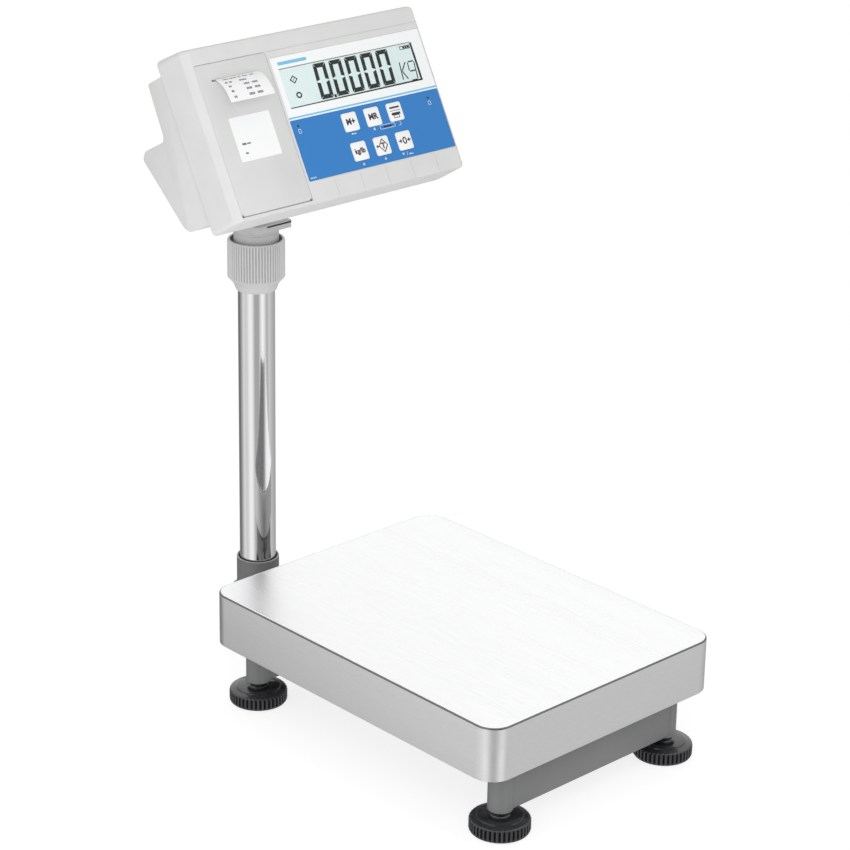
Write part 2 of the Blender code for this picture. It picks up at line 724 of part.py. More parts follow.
def add_printer(face):
    """Print head and feed in the case, with the platen on the hinged cover."""
    chassis_outline = [(71.5, -26), (20, -26), (20, -50), (36, -66), (36, -118), (71.5, -130)]
    chassis_outline = [(depth * MM, rise * MM) for depth, rise in chassis_outline]
    chassis = side_prism("printer_chassis", chassis_outline, -136 * MM, -57.3 * MM, "zinc_steel", face)
    inside = block("chassis_inside", (-134 * MM, 0, -200 * MM), (-59.3 * MM, 69.5 * MM, 0), parent=face)
    cut(chassis, inside)
    spindle_at = (-96.65 * MM, ROLL_DEPTH, ROLL_RISE)
    join(chassis, cylinder("roll_spindle", 5 * MM, -38.5 * MM, 38.5 * MM, spindle_at, None, face, True, 16))
    centre_distance = GEAR_MODULE * (PLATEN_TEETH + PINION_TEETH) / 2 + 0.1 * MM
    pinion_depth = PLATEN_DEPTH + centre_distance
    hole_at = (-58 * MM, pinion_depth, PLATEN_RISE)
    cut(chassis, cylinder("pinion_shaft_hole", 2 * MM, -5 * MM, 5 * MM, hole_at, None, face, True, 16))
    can_at = (-51.5 * MM, pinion_depth, PLATEN_RISE)
    cylinder("feed_motor", 10 * MM, -5.5 * MM, 5 * MM, can_at, "zinc_steel", face, True, 24)
    pinion = add_gear("feed_pinion", PINION_TEETH, 0, pinion_depth, face)
    shaft_length = 4.4 * MM
    shaft_at = (-62.2 * MM, pinion_depth, PLATEN_RISE)
    shaft = cylinder("pinion_shaft", 1.5 * MM, -shaft_length, shaft_length, shaft_at, None, face, True, 12)
    join(pinion, shaft)
    low, high = (-126 * MM, 19.7 * MM, -46 * MM), (-70 * MM, 25 * MM, -30 * MM)
    head = block("print_head", low, high, "aluminium", face)
    sink_low, sink_high = (-110 * MM, 24 * MM, -42 * MM), (-86 * MM, 69.2 * MM, -34 * MM)
    join(head, block("head_sink", sink_low, sink_high, parent=face))
    roll_at = ((LABEL_LEFT + LABEL_RIGHT) / 2, ROLL_DEPTH, ROLL_RISE)
    half = (LABEL_RIGHT - LABEL_LEFT) / 2
    roll_profile = [(23 * MM, half), (23 * MM, -half), (6 * MM, -half), (6 * MM, half)]
    turned("paper_roll", roll_profile, roll_at, "paper", face, along_x=True, steps=32)


def add_platen(face):
    shaft, rubber = 2.5 * MM, 6 * MM
    middle = -98 * MM
    reach = 28 * MM
    profile = [
        (0, 34.5 * MM),
        (shaft, 34.5 * MM),
        (shaft, reach),
        (rubber, reach),
        (rubber, -reach),
        (shaft, -reach),
        (shaft, -34.5 * MM),
        (0, -34.5 * MM),
    ]
    at = (middle, PLATEN_DEPTH, PLATEN_RISE)
    turned("platen_roller", profile, at, "black_rubber", face, along_x=True, steps=24)
    tooth_to_gap = math.pi / PLATEN_TEETH
    bore = shaft + 0.1 * MM
    add_gear("platen_gear", PLATEN_TEETH, tooth_to_gap, PLATEN_DEPTH, face, bore)


def add_printer_cover(face):
    """The hinged cover with its rounded lower edge on the hinge axis, the label slot and two lugs."""
    left, right, hinge_rise, top = COVER
    half = 1.5 * MM
    barrel = [
        (half + half * math.cos(angle), hinge_rise + half * math.sin(angle))
        for angle in (math.radians(180 + 30 * i) for i in range(7))
    ]
    outline = barrel + [(2 * half, top), (0, top)]
    cover = side_prism("printer_cover", outline, left, right, "case_grey", face)
    cover.data.transform(Matrix.Translation((0, -half, -hinge_rise)))
    cover.location = ((left + right) / 2, half, hinge_rise)
    slot = block(
        "label_slot",
        (LABEL_LEFT - 1 * MM, -5 * MM, -33 * MM),
        (LABEL_RIGHT + 1 * MM, 8 * MM, -28.5 * MM),
        parent=face,
    )
    cut(cover, slot)
    for index, (lug_left, lug_right) in enumerate(((-133.2, -130), (-63.6, -60.4))):
        low = (lug_left * MM, 2 * MM, PLATEN_RISE - 5 * MM)
        high = (lug_right * MM, PLATEN_DEPTH + 4.5 * MM, PLATEN_RISE + 5 * MM)
        join(cover, block(f"cover_lug_{index}", low, high, parent=face))
    bearing_at = (-98 * MM, PLATEN_DEPTH, PLATEN_RISE)
    cut(cover, cylinder("platen_bearing", 2.6 * MM, -60 * MM, 60 * MM, bearing_at, None, face, True, 20))


def add_label(face):
    """The printed strip: up from the roll, over the platen, out of the slot and curling down."""
    wrap = 6.35 * MM
    centre = [(24.2 * MM, -80 * MM), (19.6 * MM, -52 * MM)]
    for step in range(7):
        angle = math.radians(15 * step)
        centre.append((PLATEN_DEPTH + wrap * math.cos(angle), PLATEN_RISE + wrap * math.sin(angle)))
    curl_depth, curl_rise = 17 * MM, 29 * MM
    exit_rise = PLATEN_RISE + wrap
    centre.append((0, exit_rise))
    for step in range(1, 7):
        angle = math.radians(13 * step)
        centre.append((-curl_depth * math.sin(angle), exit_rise - curl_rise * (1 - math.cos(angle))))
    half = 0.12 * MM
    above, below = [], []
    for index, (depth, rise) in enumerate(centre):
        before = centre[max(index - 1, 0)]
        after = centre[min(index + 1, len(centre) - 1)]
        run = (after[0] - before[0], after[1] - before[1])
        length = math.hypot(*run)
        normal = (-run[1] / length * half, run[0] / length * half)
        above.append((depth + normal[0], rise + normal[1]))
        below.append((depth - normal[0], rise - normal[1]))
    side_prism("label_strip", above + below[::-1], LABEL_LEFT, LABEL_RIGHT, "paper", face)


def add_tilt_yoke(face):
    """A plate on the wedge's sloping underside, with two ears that reach the tilt bolt."""
    lean = math.atan2(28.5, 76.5)  # of the wedge's underside from the face
    foot_distance = 40 * MM
    yoke_frame = bpy.data.objects.new("yoke_frame", None)
    yoke_frame.location = (0, PIVOT_DEPTH, PIVOT_RISE)
    yoke_frame.rotation_euler = (-lean, 0, 0)
    yoke_frame.parent = face
    parts.objects.link(yoke_frame)
    plate_back = -foot_distance + GAP
    yoke = block(
        "tilt_yoke",
        (-30 * MM, plate_back, -26 * MM),
        (30 * MM, plate_back + 4 * MM, 26 * MM),
        "zinc_steel",
        yoke_frame,
    )
    for side in (-1, 1):
        edges = sorted((side * 8 * MM, side * 12 * MM))
        low, high = (edges[0], plate_back + 2 * MM, -11 * MM), (edges[1], 0, 11 * MM)
        ear = block(f"yoke_ear_{side}", low, high, parent=yoke_frame)
        at = (side * 10 * MM, 0, 0)
        tip = cylinder(f"yoke_tip_{side}", 11 * MM, -2 * MM, 2 * MM, at, None, yoke_frame, True, 24)
        join(yoke, ear, tip)
    cut(yoke, cylinder("yoke_bore", 4.3 * MM, -20 * MM, 20 * MM, (0, 0, 0), None, yoke_frame, True, 20))


def main():
    start()
    add_crossmember("front_crossmember", -1)
    add_crossmember("rear_crossmember", 1)
    add_spine()
    for corner, side, end in corner_names():
        add_foot(corner, side, end)
    add_platform(add_load_path())
    add_tray()
    add_pillar()
    add_clamp()
    add_head()
    face = face_frame()
    add_front_bezel(face)
    add_rear_shell(face)
    add_power_parts(face)
    add_display(face)
    add_overlay(face)
    add_keys(face)
    add_electronics(face)
    add_printer(face)
    add_platen(face)
    add_printer_cover(face)
    add_label(face)
    add_tilt_yoke(face)


main()
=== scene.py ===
"""Visual model of a label-printing bench scale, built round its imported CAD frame.

Everything is in metres in the row frame: +X to the user's right, +Y back to the pillar, +Z up. Pieces
of the indicator are made in the face's own frame, (x, depth behind the face, rise up the face), with
its origin at the middle of the face's top edge, and FACE places them. Tables of points are written in
millimetres, and mm() turns them into metres."""

import math

import bmesh
import bpy
from mathutils import Matrix, Vector


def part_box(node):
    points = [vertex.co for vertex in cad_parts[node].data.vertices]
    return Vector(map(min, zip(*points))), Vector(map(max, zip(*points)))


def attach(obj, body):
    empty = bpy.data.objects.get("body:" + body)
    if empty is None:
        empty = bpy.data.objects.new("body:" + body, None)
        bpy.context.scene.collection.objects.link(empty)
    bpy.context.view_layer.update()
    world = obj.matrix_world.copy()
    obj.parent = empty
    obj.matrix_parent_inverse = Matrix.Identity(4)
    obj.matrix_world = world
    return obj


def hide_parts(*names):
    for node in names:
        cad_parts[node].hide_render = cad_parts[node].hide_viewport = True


MM = 0.001
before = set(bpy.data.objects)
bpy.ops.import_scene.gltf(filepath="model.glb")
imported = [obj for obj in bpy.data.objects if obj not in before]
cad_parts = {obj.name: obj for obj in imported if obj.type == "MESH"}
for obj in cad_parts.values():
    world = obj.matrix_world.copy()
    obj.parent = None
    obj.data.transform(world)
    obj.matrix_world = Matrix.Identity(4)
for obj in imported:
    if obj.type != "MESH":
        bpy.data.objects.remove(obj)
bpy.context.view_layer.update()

# Places and sizes read from the CAD
TRAY_LOW, TRAY_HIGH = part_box("weighing_tray")
TUBE_LOW, TUBE_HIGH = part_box("pillar_tube")
NUT_LOW, NUT_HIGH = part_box("clamp_nut")
COLLAR_LOW, COLLAR_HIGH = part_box("pillar_collar")
ARM_LOW, ARM_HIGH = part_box("pillar_bracket")
BEAM_LOW, BEAM_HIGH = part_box("front_crossmember")
SPINE_LOW, SPINE_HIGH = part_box("base_spine")
TRAY_Y = (TRAY_LOW.y + TRAY_HIGH.y) / 2
TRAY_TOP = TRAY_HIGH.z
PILLAR_Y = (TUBE_LOW.y + TUBE_HIGH.y) / 2
TUBE_RADIUS = (TUBE_HIGH.x - TUBE_LOW.x) / 2
NUT_RADIUS = (NUT_HIGH.x - NUT_LOW.x) / 2
COLLAR_RADIUS = (COLLAR_HIGH.x - COLLAR_LOW.x) / 2
CORNERS = ("front_left", "front_right", "rear_left", "rear_right")
SIDES = (("left", -1), ("right", 1))

# Indicator, as in the CAD
FACE_LEAN = math.radians(28.5)
FACE_TOP = (0, TRAY_Y + 233.7 * MM, TRAY_TOP + 537 * MM)
FACE = Matrix.Translation(FACE_TOP) @ Matrix.Rotation(-FACE_LEAN, 4, "X")
FACE_HALF_WIDTH, CASE_HALF_WIDTH = 142 * MM, 147 * MM
FACE_HEIGHT = 167 * MM
CASE_SPLIT = 37 * MM
DISPLAY = (-45 * MM, 127 * MM, -74 * MM, -34 * MM)  # left, right, bottom, top
OVERLAY = (-51.5 * MM, 140.5 * MM, -145.5 * MM, -22.5 * MM)
COVER = (-140.5 * MM, -54.5 * MM, -161.5 * MM, -15.5 * MM)
KEY_SIZE = 18.5 * MM
KEY_COLUMNS = (19.7 * MM, 48.9 * MM, 78.2 * MM)
KEY_ROWS = (-98.6 * MM, -128.2 * MM)
KEY_NAMES = (
    ("key_memory_add", "key_memory_recall", "key_mode_print"),
    ("key_units", "key_tare", "key_zero"),
)
PLATEN_DEPTH, PLATEN_RISE = 13 * MM, -38 * MM
ROLL_DEPTH, ROLL_RISE = 44 * MM, -105 * MM
LABEL_LEFT, LABEL_RIGHT = -124.5 * MM, -71.5 * MM
LABEL_WRAP = 6.35 * MM  # of the label's middle line round the platen's axis
LABEL_TOP = PLATEN_RISE + LABEL_WRAP  # where the ticket leaves the slot
HINGE_DEPTH = 1.5 * MM
FILM = 0.06 * MM  # thickness of a printed mark


# Materials

def look(name, slot, colour, roughness, metallic=0.0, **sockets):
    """A Principled material that carries the record's slot name. Keywords are socket names with _."""
    made = bpy.data.materials.new(name)
    made.use_nodes = True
    made["slot"] = slot
    shader = made.node_tree.nodes["Principled BSDF"]
    shader.inputs["Base Color"].default_value = (*colour, 1.0)
    shader.inputs["Roughness"].default_value = roughness
    shader.inputs["Metallic"].default_value = metallic
    for socket, value in sockets.items():
        shader.inputs[socket.replace("_", " ")].default_value = value
    return made


def add_node(made, kind, links=None, **values):
    """A node of a material or a world, with its input sockets set from values or linked from links."""
    node = made.node_tree.nodes.new(kind)
    for socket, value in values.items():
        node.inputs[socket.replace("_", " ")].default_value = value
    for socket, source in (links or {}).items():
        made.node_tree.links.new(source, node.inputs[socket])
    return node


def field(made, per_metre, detail=2.0, stretch=(1, 1, 1)):
    """Noise in the piece's own metres, with per_metre features a metre, times stretch along each axis."""
    place = add_node(made, "ShaderNodeTexCoord").outputs["Object"]
    mapping = add_node(made, "ShaderNodeMapping", {"Vector": place})
    mapping.inputs["Scale"].default_value = [per_metre * share for share in stretch]
    vector = mapping.outputs["Vector"]
    return add_node(made, "ShaderNodeTexNoise", {"Vector": vector}, Scale=1.0, Detail=detail).outputs["Fac"]


def feed(made, source, socket, low, high, start=0.3, end=0.7):
    """Runs a shader's number from low to high as the source goes from start to end."""
    shader = made.node_tree.nodes["Principled BSDF"]
    spread = add_node(
        made, "ShaderNodeMapRange", {"Value": source}, From_Min=start, From_Max=end, To_Min=low, To_Max=high
    )
    made.node_tree.links.new(spread.outputs["Result"], shader.inputs[socket])


def tint(made, source, dark, light, start=0.3, end=0.7):
    """Runs the base colour from dark to light as the source goes from start to end."""
    shader = made.node_tree.nodes["Principled BSDF"]
    ramp = add_node(made, "ShaderNodeValToRGB", {"Fac": source})
    for element, position, colour in zip(ramp.color_ramp.elements, (start, end), (dark, light)):
        element.position = position
        element.color = (*colour, 1.0)
    made.node_tree.links.new(ramp.outputs["Color"], shader.inputs["Base Color"])


def emboss(made, source, height, strength=1.0):
    """Adds a bump of that height in metres on top of the bumps already there."""
    shader = made.node_tree.nodes["Principled BSDF"]
    before = shader.inputs["Normal"].links
    links = {"Height": source}
    if before:
        links["Normal"] = before[0].from_socket
    bump = add_node(made, "ShaderNodeBump", links, Distance=height, Strength=strength)
    made.node_tree.links.new(bump.outputs["Normal"], shader.inputs["Normal"])


def shades(colour, spread):
    """A darker and a lighter shade of a colour."""
    dark = [channel * (1 - spread) for channel in colour]
    light = [min(1, channel * (1 + spread)) for channel in colour]
    return dark, light


def moulded(name, slot, colour, roughness, grain=1400, height=0.03 * MM, spread=0.02, **sockets):
    """Moulded plastic with a spark-eroded grain and a faint change of shade."""
    made = look(name, slot, colour, roughness, **sockets)
    tint(made, field(made, 35), *shades(colour, spread))
    feed(made, field(made, 120, 4), "Roughness", roughness - 0.04, roughness + 0.05)
    emboss(made, field(made, grain, 3), height, 0.6)
    return made


def powder_coat(name, slot, colour):
    """Semi-gloss paint with an orange peel."""
    made = look(name, slot, colour, 0.42, Coat_Weight=0.15, Coat_Roughness=0.25)
    tint(made, field(made, 18, 4), *shades(colour, 0.05))
    feed(made, field(made, 200, 3), "Roughness", 0.36, 0.5)
    emboss(made, field(made, 700, 2), 0.05 * MM, 0.5)
    return made


def brushed(name, slot, colour, roughness, grain):
    """Sheet metal with lines along the axis whose share in grain is small."""
    made = look(name, slot, colour, roughness, 1.0)
    lines = field(made, 2600, 3, grain)
    tint(made, lines, *shades(colour, 0.035))
    feed(made, field(made, 45, 4, grain), "Roughness", roughness - 0.05, roughness + 0.07)
    emboss(made, lines, 0.012 * MM, 0.5)
    return made


def bright_metal(name, slot, colour, roughness):
    """Plated or machined metal with faint smears."""
    made = look(name, slot, colour, roughness, 1.0)
    feed(made, field(made, 60, 5, (1, 1, 0.25)), "Roughness", roughness, roughness * 1.6 + 0.01)
    emboss(made, field(made, 900, 2), 0.004 * MM, 0.3)
    return made


def rubber(name, slot, colour):
    """Matt rubber, a shade uneven."""
    made = look(name, slot, colour, 0.62, Specular_IOR_Level=0.35)
    tint(made, field(made, 60, 4), *shades(colour, 0.15))
    emboss(made, field(made, 1800, 3), 0.03 * MM, 0.6)
    return made


def paper_stock(name, slot, colour):
    """Paper or card with its fibres."""
    made = look(name, slot, colour, 0.7, Specular_IOR_Level=0.3)
    tint(made, field(made, 900, 4), *shades(colour, 0.015))
    emboss(made, field(made, 2500, 4), 0.01 * MM, 0.5)
    return made


def ink(name, slot, colour, roughness=0.4, **sockets):
    """Printed ink, a shade uneven like the screen that laid it."""
    made = look(name, slot, colour, roughness, **sockets)
    tint(made, field(made, 1500, 2), *shades(colour, 0.06))
    emboss(made, field(made, 1200, 2), 0.004 * MM, 0.3)
    return made


def display_glass():
    """The display's pale panel, with a faint change of shade."""
    made = look("panel_glass", "display", (0.63, 0.74, 0.70), 0.22)
    tint(made, field(made, 14, 1), (0.70, 0.86, 0.83), (0.80, 0.93, 0.92), 0.35, 0.65)
    emboss(made, field(made, 1500, 2), 0.004 * MM, 0.2)
    return made


def board_lacquer():
    """A circuit board with its tracks."""
    made = look("board_lacquer", "board", (0.02, 0.13, 0.05), 0.35)
    tracks = field(made, 260, 0, (1, 1, 0.2))
    tint(made, tracks, (0.014, 0.1, 0.04), (0.03, 0.19, 0.08), 0.49, 0.51)
    emboss(made, tracks, 0.03 * MM, 0.4)
    return made


def level_liquid():
    """The level's green liquid behind its glass."""
    made = look("vial_liquid", "vial", (0.55, 0.75, 0.12), 0.06, Coat_Weight=1.0)
    tint(made, field(made, 90, 1), (0.45, 0.66, 0.08), (0.62, 0.82, 0.2))
    return made


case = moulded("case_plastic", "case_grey", (0.72, 0.72, 0.715), 0.46)
cover_plastic = moulded("cover_plastic", "case_grey", (0.70, 0.70, 0.695), 0.44, grain=1700)
nut_plastic = moulded("nut_plastic", "nut_grey", (0.61, 0.61, 0.61), 0.42)
head_plastic = moulded("head_plastic", "nut_grey", (0.5, 0.5, 0.5), 0.42)
# A darker copy of the nut's grey for its groove bottoms: painted shade
nut_painted_shade = moulded("nut_painted_shade", "nut_grey", (0.36, 0.36, 0.36), 0.5)
collar_plastic = moulded("collar_plastic", "collar_grey", (0.15, 0.15, 0.15), 0.45)
lip_plastic = moulded("lip_plastic", "collar_grey", (0.42, 0.42, 0.42), 0.35)
black_colour = (0.018, 0.019, 0.022)
black = moulded("black_plastic", "black_plastic", black_colour, 0.34, spread=0.1)
foot_plastic = moulded("foot_plastic", "foot_plastic", black_colour, 0.22, spread=0.12, Coat_Weight=0.5)
# A darker copy of the foot's plastic for its groove bottoms: painted shade
foot_painted_shade = moulded("foot_painted_shade", "foot_plastic", (0.007, 0.007, 0.008), 0.6, Specular_IOR_Level=0.2)
sole_rubber = rubber("sole_rubber", "black_rubber", (0.022, 0.022, 0.024))
key_plastic = moulded("key_plastic", "key_white", (0.95, 0.95, 0.95), 0.32, height=0.01 * MM, spread=0.01)
frame_paint = powder_coat("frame_paint", "frame_paint", (0.19, 0.193, 0.193))
tray_steel = brushed("tray_steel", "stainless", (0.93, 0.935, 0.94), 0.27, (1.0, 0.02, 1.0))
# Dark steel for the tray's rolled top edge: painted shade, a thin dark line along the roll
tray_edge_painted_shade = brushed("tray_edge_painted_shade", "stainless", (0.16, 0.16, 0.16), 0.22, (0.05, 0.05, 1.0))
skirt_steel = brushed("skirt_steel", "stainless", (0.9, 0.9, 0.9), 0.34, (0.05, 0.05, 1.0))
zinc = bright_metal("zinc_plate", "zinc_steel", (0.62, 0.63, 0.64), 0.3)
machined = brushed("machined_aluminium", "aluminium", (0.7, 0.71, 0.73), 0.34, (0.04, 1.0, 1.0))
chrome = bright_metal("chrome_plate", "chrome", (0.9, 0.9, 0.905), 0.045)
film_white = ink("film_white", "overlay", (0.94, 0.99, 0.98), 0.35)
film_blue = ink("film_blue", "overlay", (0.022, 0.2, 0.55), 0.42)
film_sky = ink("film_sky", "overlay", (0.2, 0.54, 0.76), 0.35)
print_black = ink("print_black", "overlay", (0.015, 0.015, 0.017), 0.45)
print_white = ink("print_white", "overlay", (0.72, 0.8, 0.88), 0.45)
print_grey = ink("print_grey", "paper", (0.16, 0.16, 0.17), 0.6)
key_ink = ink("key_ink", "key_white", (0.02, 0.02, 0.022), 0.45)
# Black and faint grey for the display's segments and signs; they also colour the dark lines painted round the
# window as shade
lcd_black_and_shade = ink("lcd_black_and_shade", "display", (0.004, 0.005, 0.005), 0.5, Specular_IOR_Level=0.1)
lcd_faint_and_shade = ink("lcd_faint_and_shade", "display", (0.06, 0.075, 0.07), 0.3)
panel_glass = display_glass()
clear = look("clear_lens", "lens", (0.5, 0.55, 0.55), 0.05, Alpha=0.03, Specular_IOR_Level=0.1)
board_green = board_lacquer()
chip_black = moulded("chip_epoxy", "board", (0.02, 0.02, 0.022), 0.5, spread=0.1)
gold = bright_metal("gold_contact", "board", (0.9, 0.68, 0.3), 0.25)
battery_wrap = moulded("battery_wrap", "battery", (0.1, 0.11, 0.13), 0.35, height=0.01 * MM)
label_paper = paper_stock("label_paper", "paper", (0.95, 0.955, 0.96))
card = paper_stock("core_card", "paper", (0.36, 0.26, 0.17))
vial_liquid = level_liquid()


# Outlines

def mm(points, x=0.0, y=0.0):
    """Points given in millimetres from (x, y), in metres. A third value stays as it is."""
    return [(x + a * MM, y + b * MM, *rest) for a, b, *rest in points]


def arc(x, y, radius, turns, height=None):
    """Points on a circle, or an oval of that half height, round (x, y), at these turns in degrees."""
    height = radius if height is None else height
    angles = [math.radians(turn) for turn in turns]
    return [(x + radius * math.cos(angle), y + height * math.sin(angle)) for angle in angles]


def circle(x, y, radius, steps=32, height=None):
    return arc(x, y, radius, [360 * i / steps for i in range(steps)], height)


def hexagon(radius):
    return circle(0, 0, radius, 6)


def corners_of(left, right, bottom, top):
    return [(left, bottom), (right, bottom), (right, top), (left, top)]


def rounded_rectangle(left, right, bottom, top, radius, steps=6):
    made = []
    x, y = (right - radius, left + radius), (top - radius, bottom + radius)
    for quarter, middle in enumerate(((x[0], y[0]), (x[1], y[0]), (x[1], y[1]), (x[0], y[1]))):
        made += arc(*middle, radius, [90 * quarter + 90 * step / steps for step in range(steps + 1)])
    return made


def panel(left, right, bottom, top, radius, steps=6):
    """A rounded rectangle whose measures are in millimetres."""
    return rounded_rectangle(*(value * MM for value in (left, right, bottom, top, radius)), steps)


def rounded(outline, radius, closed=True, steps=4):
    """The outline with each corner turned into a short curve that starts radius from the corner."""
    made = []
    count = len(outline)
    for index, corner in enumerate(outline):
        if not closed and index in (0, count - 1):
            made.append(tuple(corner))
            continue
        here = Vector(corner)
        ends = []
        for other in (outline[index - 1], outline[(index + 1) % count]):
            run = Vector(other) - here
            ends.append(here + run.normalized() * min(radius, run.length * 0.48))
        for step in range(steps + 1):
            t = step / steps
            made.append(tuple(ends[0] * (1 - t) ** 2 + here * 2 * t * (1 - t) + ends[1] * t**2))
    return made


def mitre(before, here, after, distance, limit):
    """The step from a corner to its place on an outline moved to the left by distance."""
    normals = []
    for run in (here - before, after - here):
        run = run.normalized()
        normals.append(Vector((-run.y, run.x)))
    middle = (normals[0] + normals[1]).normalized()
    return middle * distance / max(limit, middle.dot(normals[0]))


def inset(outline, distance):
    """The outline moved inwards, for an outline that runs anticlockwise."""
    made = []
    count = len(outline)
    for i in range(count):
        before, here, after = (Vector(outline[j % count]) for j in (i - 1, i, i + 1))
        made.append(tuple(here + mitre(before, here, after, distance, 0.35)))
    return made


def stroke(points, width, closed=False):
    """The two sides of a line of that width through the points."""
    left, right = [], []
    points = [Vector(point) for point in points]
    if closed:
        path = [points[-1], *points, points[0]]
    else:
        path = [points[0] * 2 - points[1], *points, points[-1] * 2 - points[-2]]
    for before, here, after in zip(path, path[1:], path[2:]):
        reach = mitre(before, here, after, width / 2, 0.4)
        left.append(tuple(here + reach))
        right.append(tuple(here - reach))
    return left, right


def area(outline):
    return sum(a[0] * b[1] - b[0] * a[1] for a, b in zip(outline, outline[1:] + outline[:1])) / 2


# Solids

AXIS_PLACE = {
    "x": lambda a, b, c: (c, a, b),
    "y": lambda a, b, c: (a, c, b),
    "z": lambda a, b, c: (a, b, c),
}


def loft(loops, ends=True):
    """A solid through loops of equally many points, with a face on each end."""
    shape = bmesh.new()
    rows = [[shape.verts.new(point) for point in loop] for loop in loops]
    for near, far in zip(rows, rows[1:]):
        for i in range(len(near)):
            j = (i + 1) % len(near)
            shape.faces.new((near[i], near[j], far[j], far[i]))
    if ends:
        shape.faces.new(rows[0])
        shape.faces.new(rows[-1][::-1])
    bmesh.ops.recalc_face_normals(shape, faces=shape.faces)
    return shape


def prism(outline, low, high, axis="z", edge=0.0):
    """An outline pushed along an axis, with its end edges rounded by edge. The outline is in (x, y),
    or (y, z) along x, or (x, z) along y."""
    place = AXIS_PLACE[axis]
    if area(outline) < 0:
        outline = outline[::-1]
    levels = [(low, 0), (high, 0)]
    if edge:
        small = edge * 0.3
        levels = [(low, edge), (low + small, small), (low + edge, 0)]
        levels += [(high - edge, 0), (high - small, small), (high, edge)]
    loops = []
    for height, distance in levels:
        points = inset(outline, distance) if distance else outline
        loops.append([place(a, b, height) for a, b in points])
    return loft(loops)


def box(low, high, edge=0.0):
    """A block with rounded edges between two corners."""
    plan = rounded_rectangle(low[0], high[0], low[1], high[1], max(edge, 0.01 * MM), 3)
    return prism(plan, low[2], high[2], "z", edge)


def block(low, high, edge=0.0):
    """A box whose measures are in millimetres."""
    return box([value * MM for value in low], [value * MM for value in high], edge * MM)


def turned(profile, steps=96, ribs=0, depth=0.0):
    """A solid of revolution about Z from (radius, height) points, from axis to axis or a closed ring. A
    third value in a point is how much of the rib depth it takes."""
    shape = bmesh.new()
    rows = []
    for radius, height, *share in profile:
        if radius < 1e-7:
            rows.append([shape.verts.new((0, 0, height))])
            continue
        row = []
        for i in range(steps):
            angle = 2 * math.pi * i / steps
            groove = 1 - abs(math.sin(angle * ribs / 2)) if ribs and share else 0
            r = radius - share[0] * depth * groove if groove else radius
            row.append(shape.verts.new((r * math.cos(angle), r * math.sin(angle), height)))
        rows.append(row)
    pairs = list(zip(rows, rows[1:]))
    if len(rows[0]) > 1:
        pairs.append((rows[-1], rows[0]))
    for near, far in pairs:
        for i in range(steps):
            j = (i + 1) % steps
            corners = [near[i % len(near)], near[j % len(near)], far[j % len(far)], far[i % len(far)]]
            corners = list(dict.fromkeys(corners))
            if len(corners) > 2:
                shape.faces.new(corners)
    bmesh.ops.recalc_face_normals(shape, faces=shape.faces)
    return shape


def cylinder(radius, low, high, edge=0.0, steps=32):
    profile = [(0, low), (radius, low), (radius, high), (0, high)]
    if edge:
        profile = rounded(profile, edge, closed=False, steps=3)
    return turned(profile, steps)


def moved(shape, matrix):
    bmesh.ops.transform(shape, matrix=matrix, verts=shape.verts)
    return shape


def at(x, y, z):
    return Matrix.Translation((x, y, z))


def at_mm(x, y, z):
    return at(x * MM, y * MM, z * MM)


ALONG_X = Matrix.Rotation(math.pi / 2, 4, "Y")
TOWARDS_FRONT = Matrix.Rotation(math.pi / 2, 4, "X")  # +Z to -Y, so that a flat mark faces the user
TOWARDS_BACK = Matrix.Rotation(-math.pi / 2, 4, "X")


def axis_of(node):
    """The upright through the middle of a CAD node."""
    low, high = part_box(node)
    return at((low.x + high.x) / 2, (low.y + high.y) / 2, 0)


def mesh_of(name, shape):
    mesh = bpy.data.meshes.new(name)
    shape.to_mesh(mesh)
    shape.free()
    return mesh


def add_object(name, data):
    obj = bpy.data.objects.new(name, data)
    bpy.context.scene.collection.objects.link(obj)
    return obj


def baked(obj, near):
    """The final mesh of a helper object, which is removed, with points nearer than near joined."""
    graph = bpy.context.evaluated_depsgraph_get()
    mesh = bpy.data.meshes.new_from_object(obj.evaluated_get(graph))
    bpy.data.objects.remove(obj)
    shape = bmesh.new()
    shape.from_mesh(mesh)
    bpy.data.meshes.remove(mesh)
    bmesh.ops.remove_doubles(shape, verts=shape.verts, dist=near)
    return shape


def merged(*shapes):
    """One mesh of several separate shapes."""
    made = bmesh.new()
    for shape in shapes:
        mesh = mesh_of("part", shape)
        made.from_mesh(mesh)
        bpy.data.meshes.remove(mesh)
    return made


def carve(shape, cutters=(), joins=()):
    """The shape joined with some shapes and then cut by others."""
    target = add_object("tool", mesh_of("tool", shape))
    helpers = []
    for operation, others in (("UNION", joins), ("DIFFERENCE", cutters)):
        for other in others:
            helpers.append(add_object("tool", mesh_of("tool", other)))
            step = target.modifiers.new("step", "BOOLEAN")
            step.operation = operation
            step.object = helpers[-1]
            step.solver = "EXACT"
    made = baked(target, 0.001 * MM)
    for helper in helpers:
        bpy.data.objects.remove(helper)
    return made


# Pieces

def piece(name, shape, finish, body, replaces=(), place=None, angle=38):
    """A visible piece that rides on a body, in its material, which carries a slot name."""
    mesh = mesh_of(name, shape)
    mesh.shade_smooth()
    mesh.set_sharp_from_angle(angle=math.radians(angle))
    mesh.materials.append(finish)
    obj = add_object(name, mesh)
    if place is not None:
        obj.matrix_world = place
    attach(obj, body)
    if replaces:
        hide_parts(*replaces)
    return obj


def on_face(name, shape, finish, body="indicator", replaces=(), angle=38):
    return piece(name, shape, finish, body, replaces, FACE, angle)


def keep(finish, *nodes):
    """CAD nodes that are shown as they are, with a better material."""
    for node in nodes:
        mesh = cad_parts[node].data
        mesh.materials.clear()
        mesh.materials.append(finish)
        mesh.shade_smooth()
        mesh.set_sharp_from_angle(angle=math.radians(30))


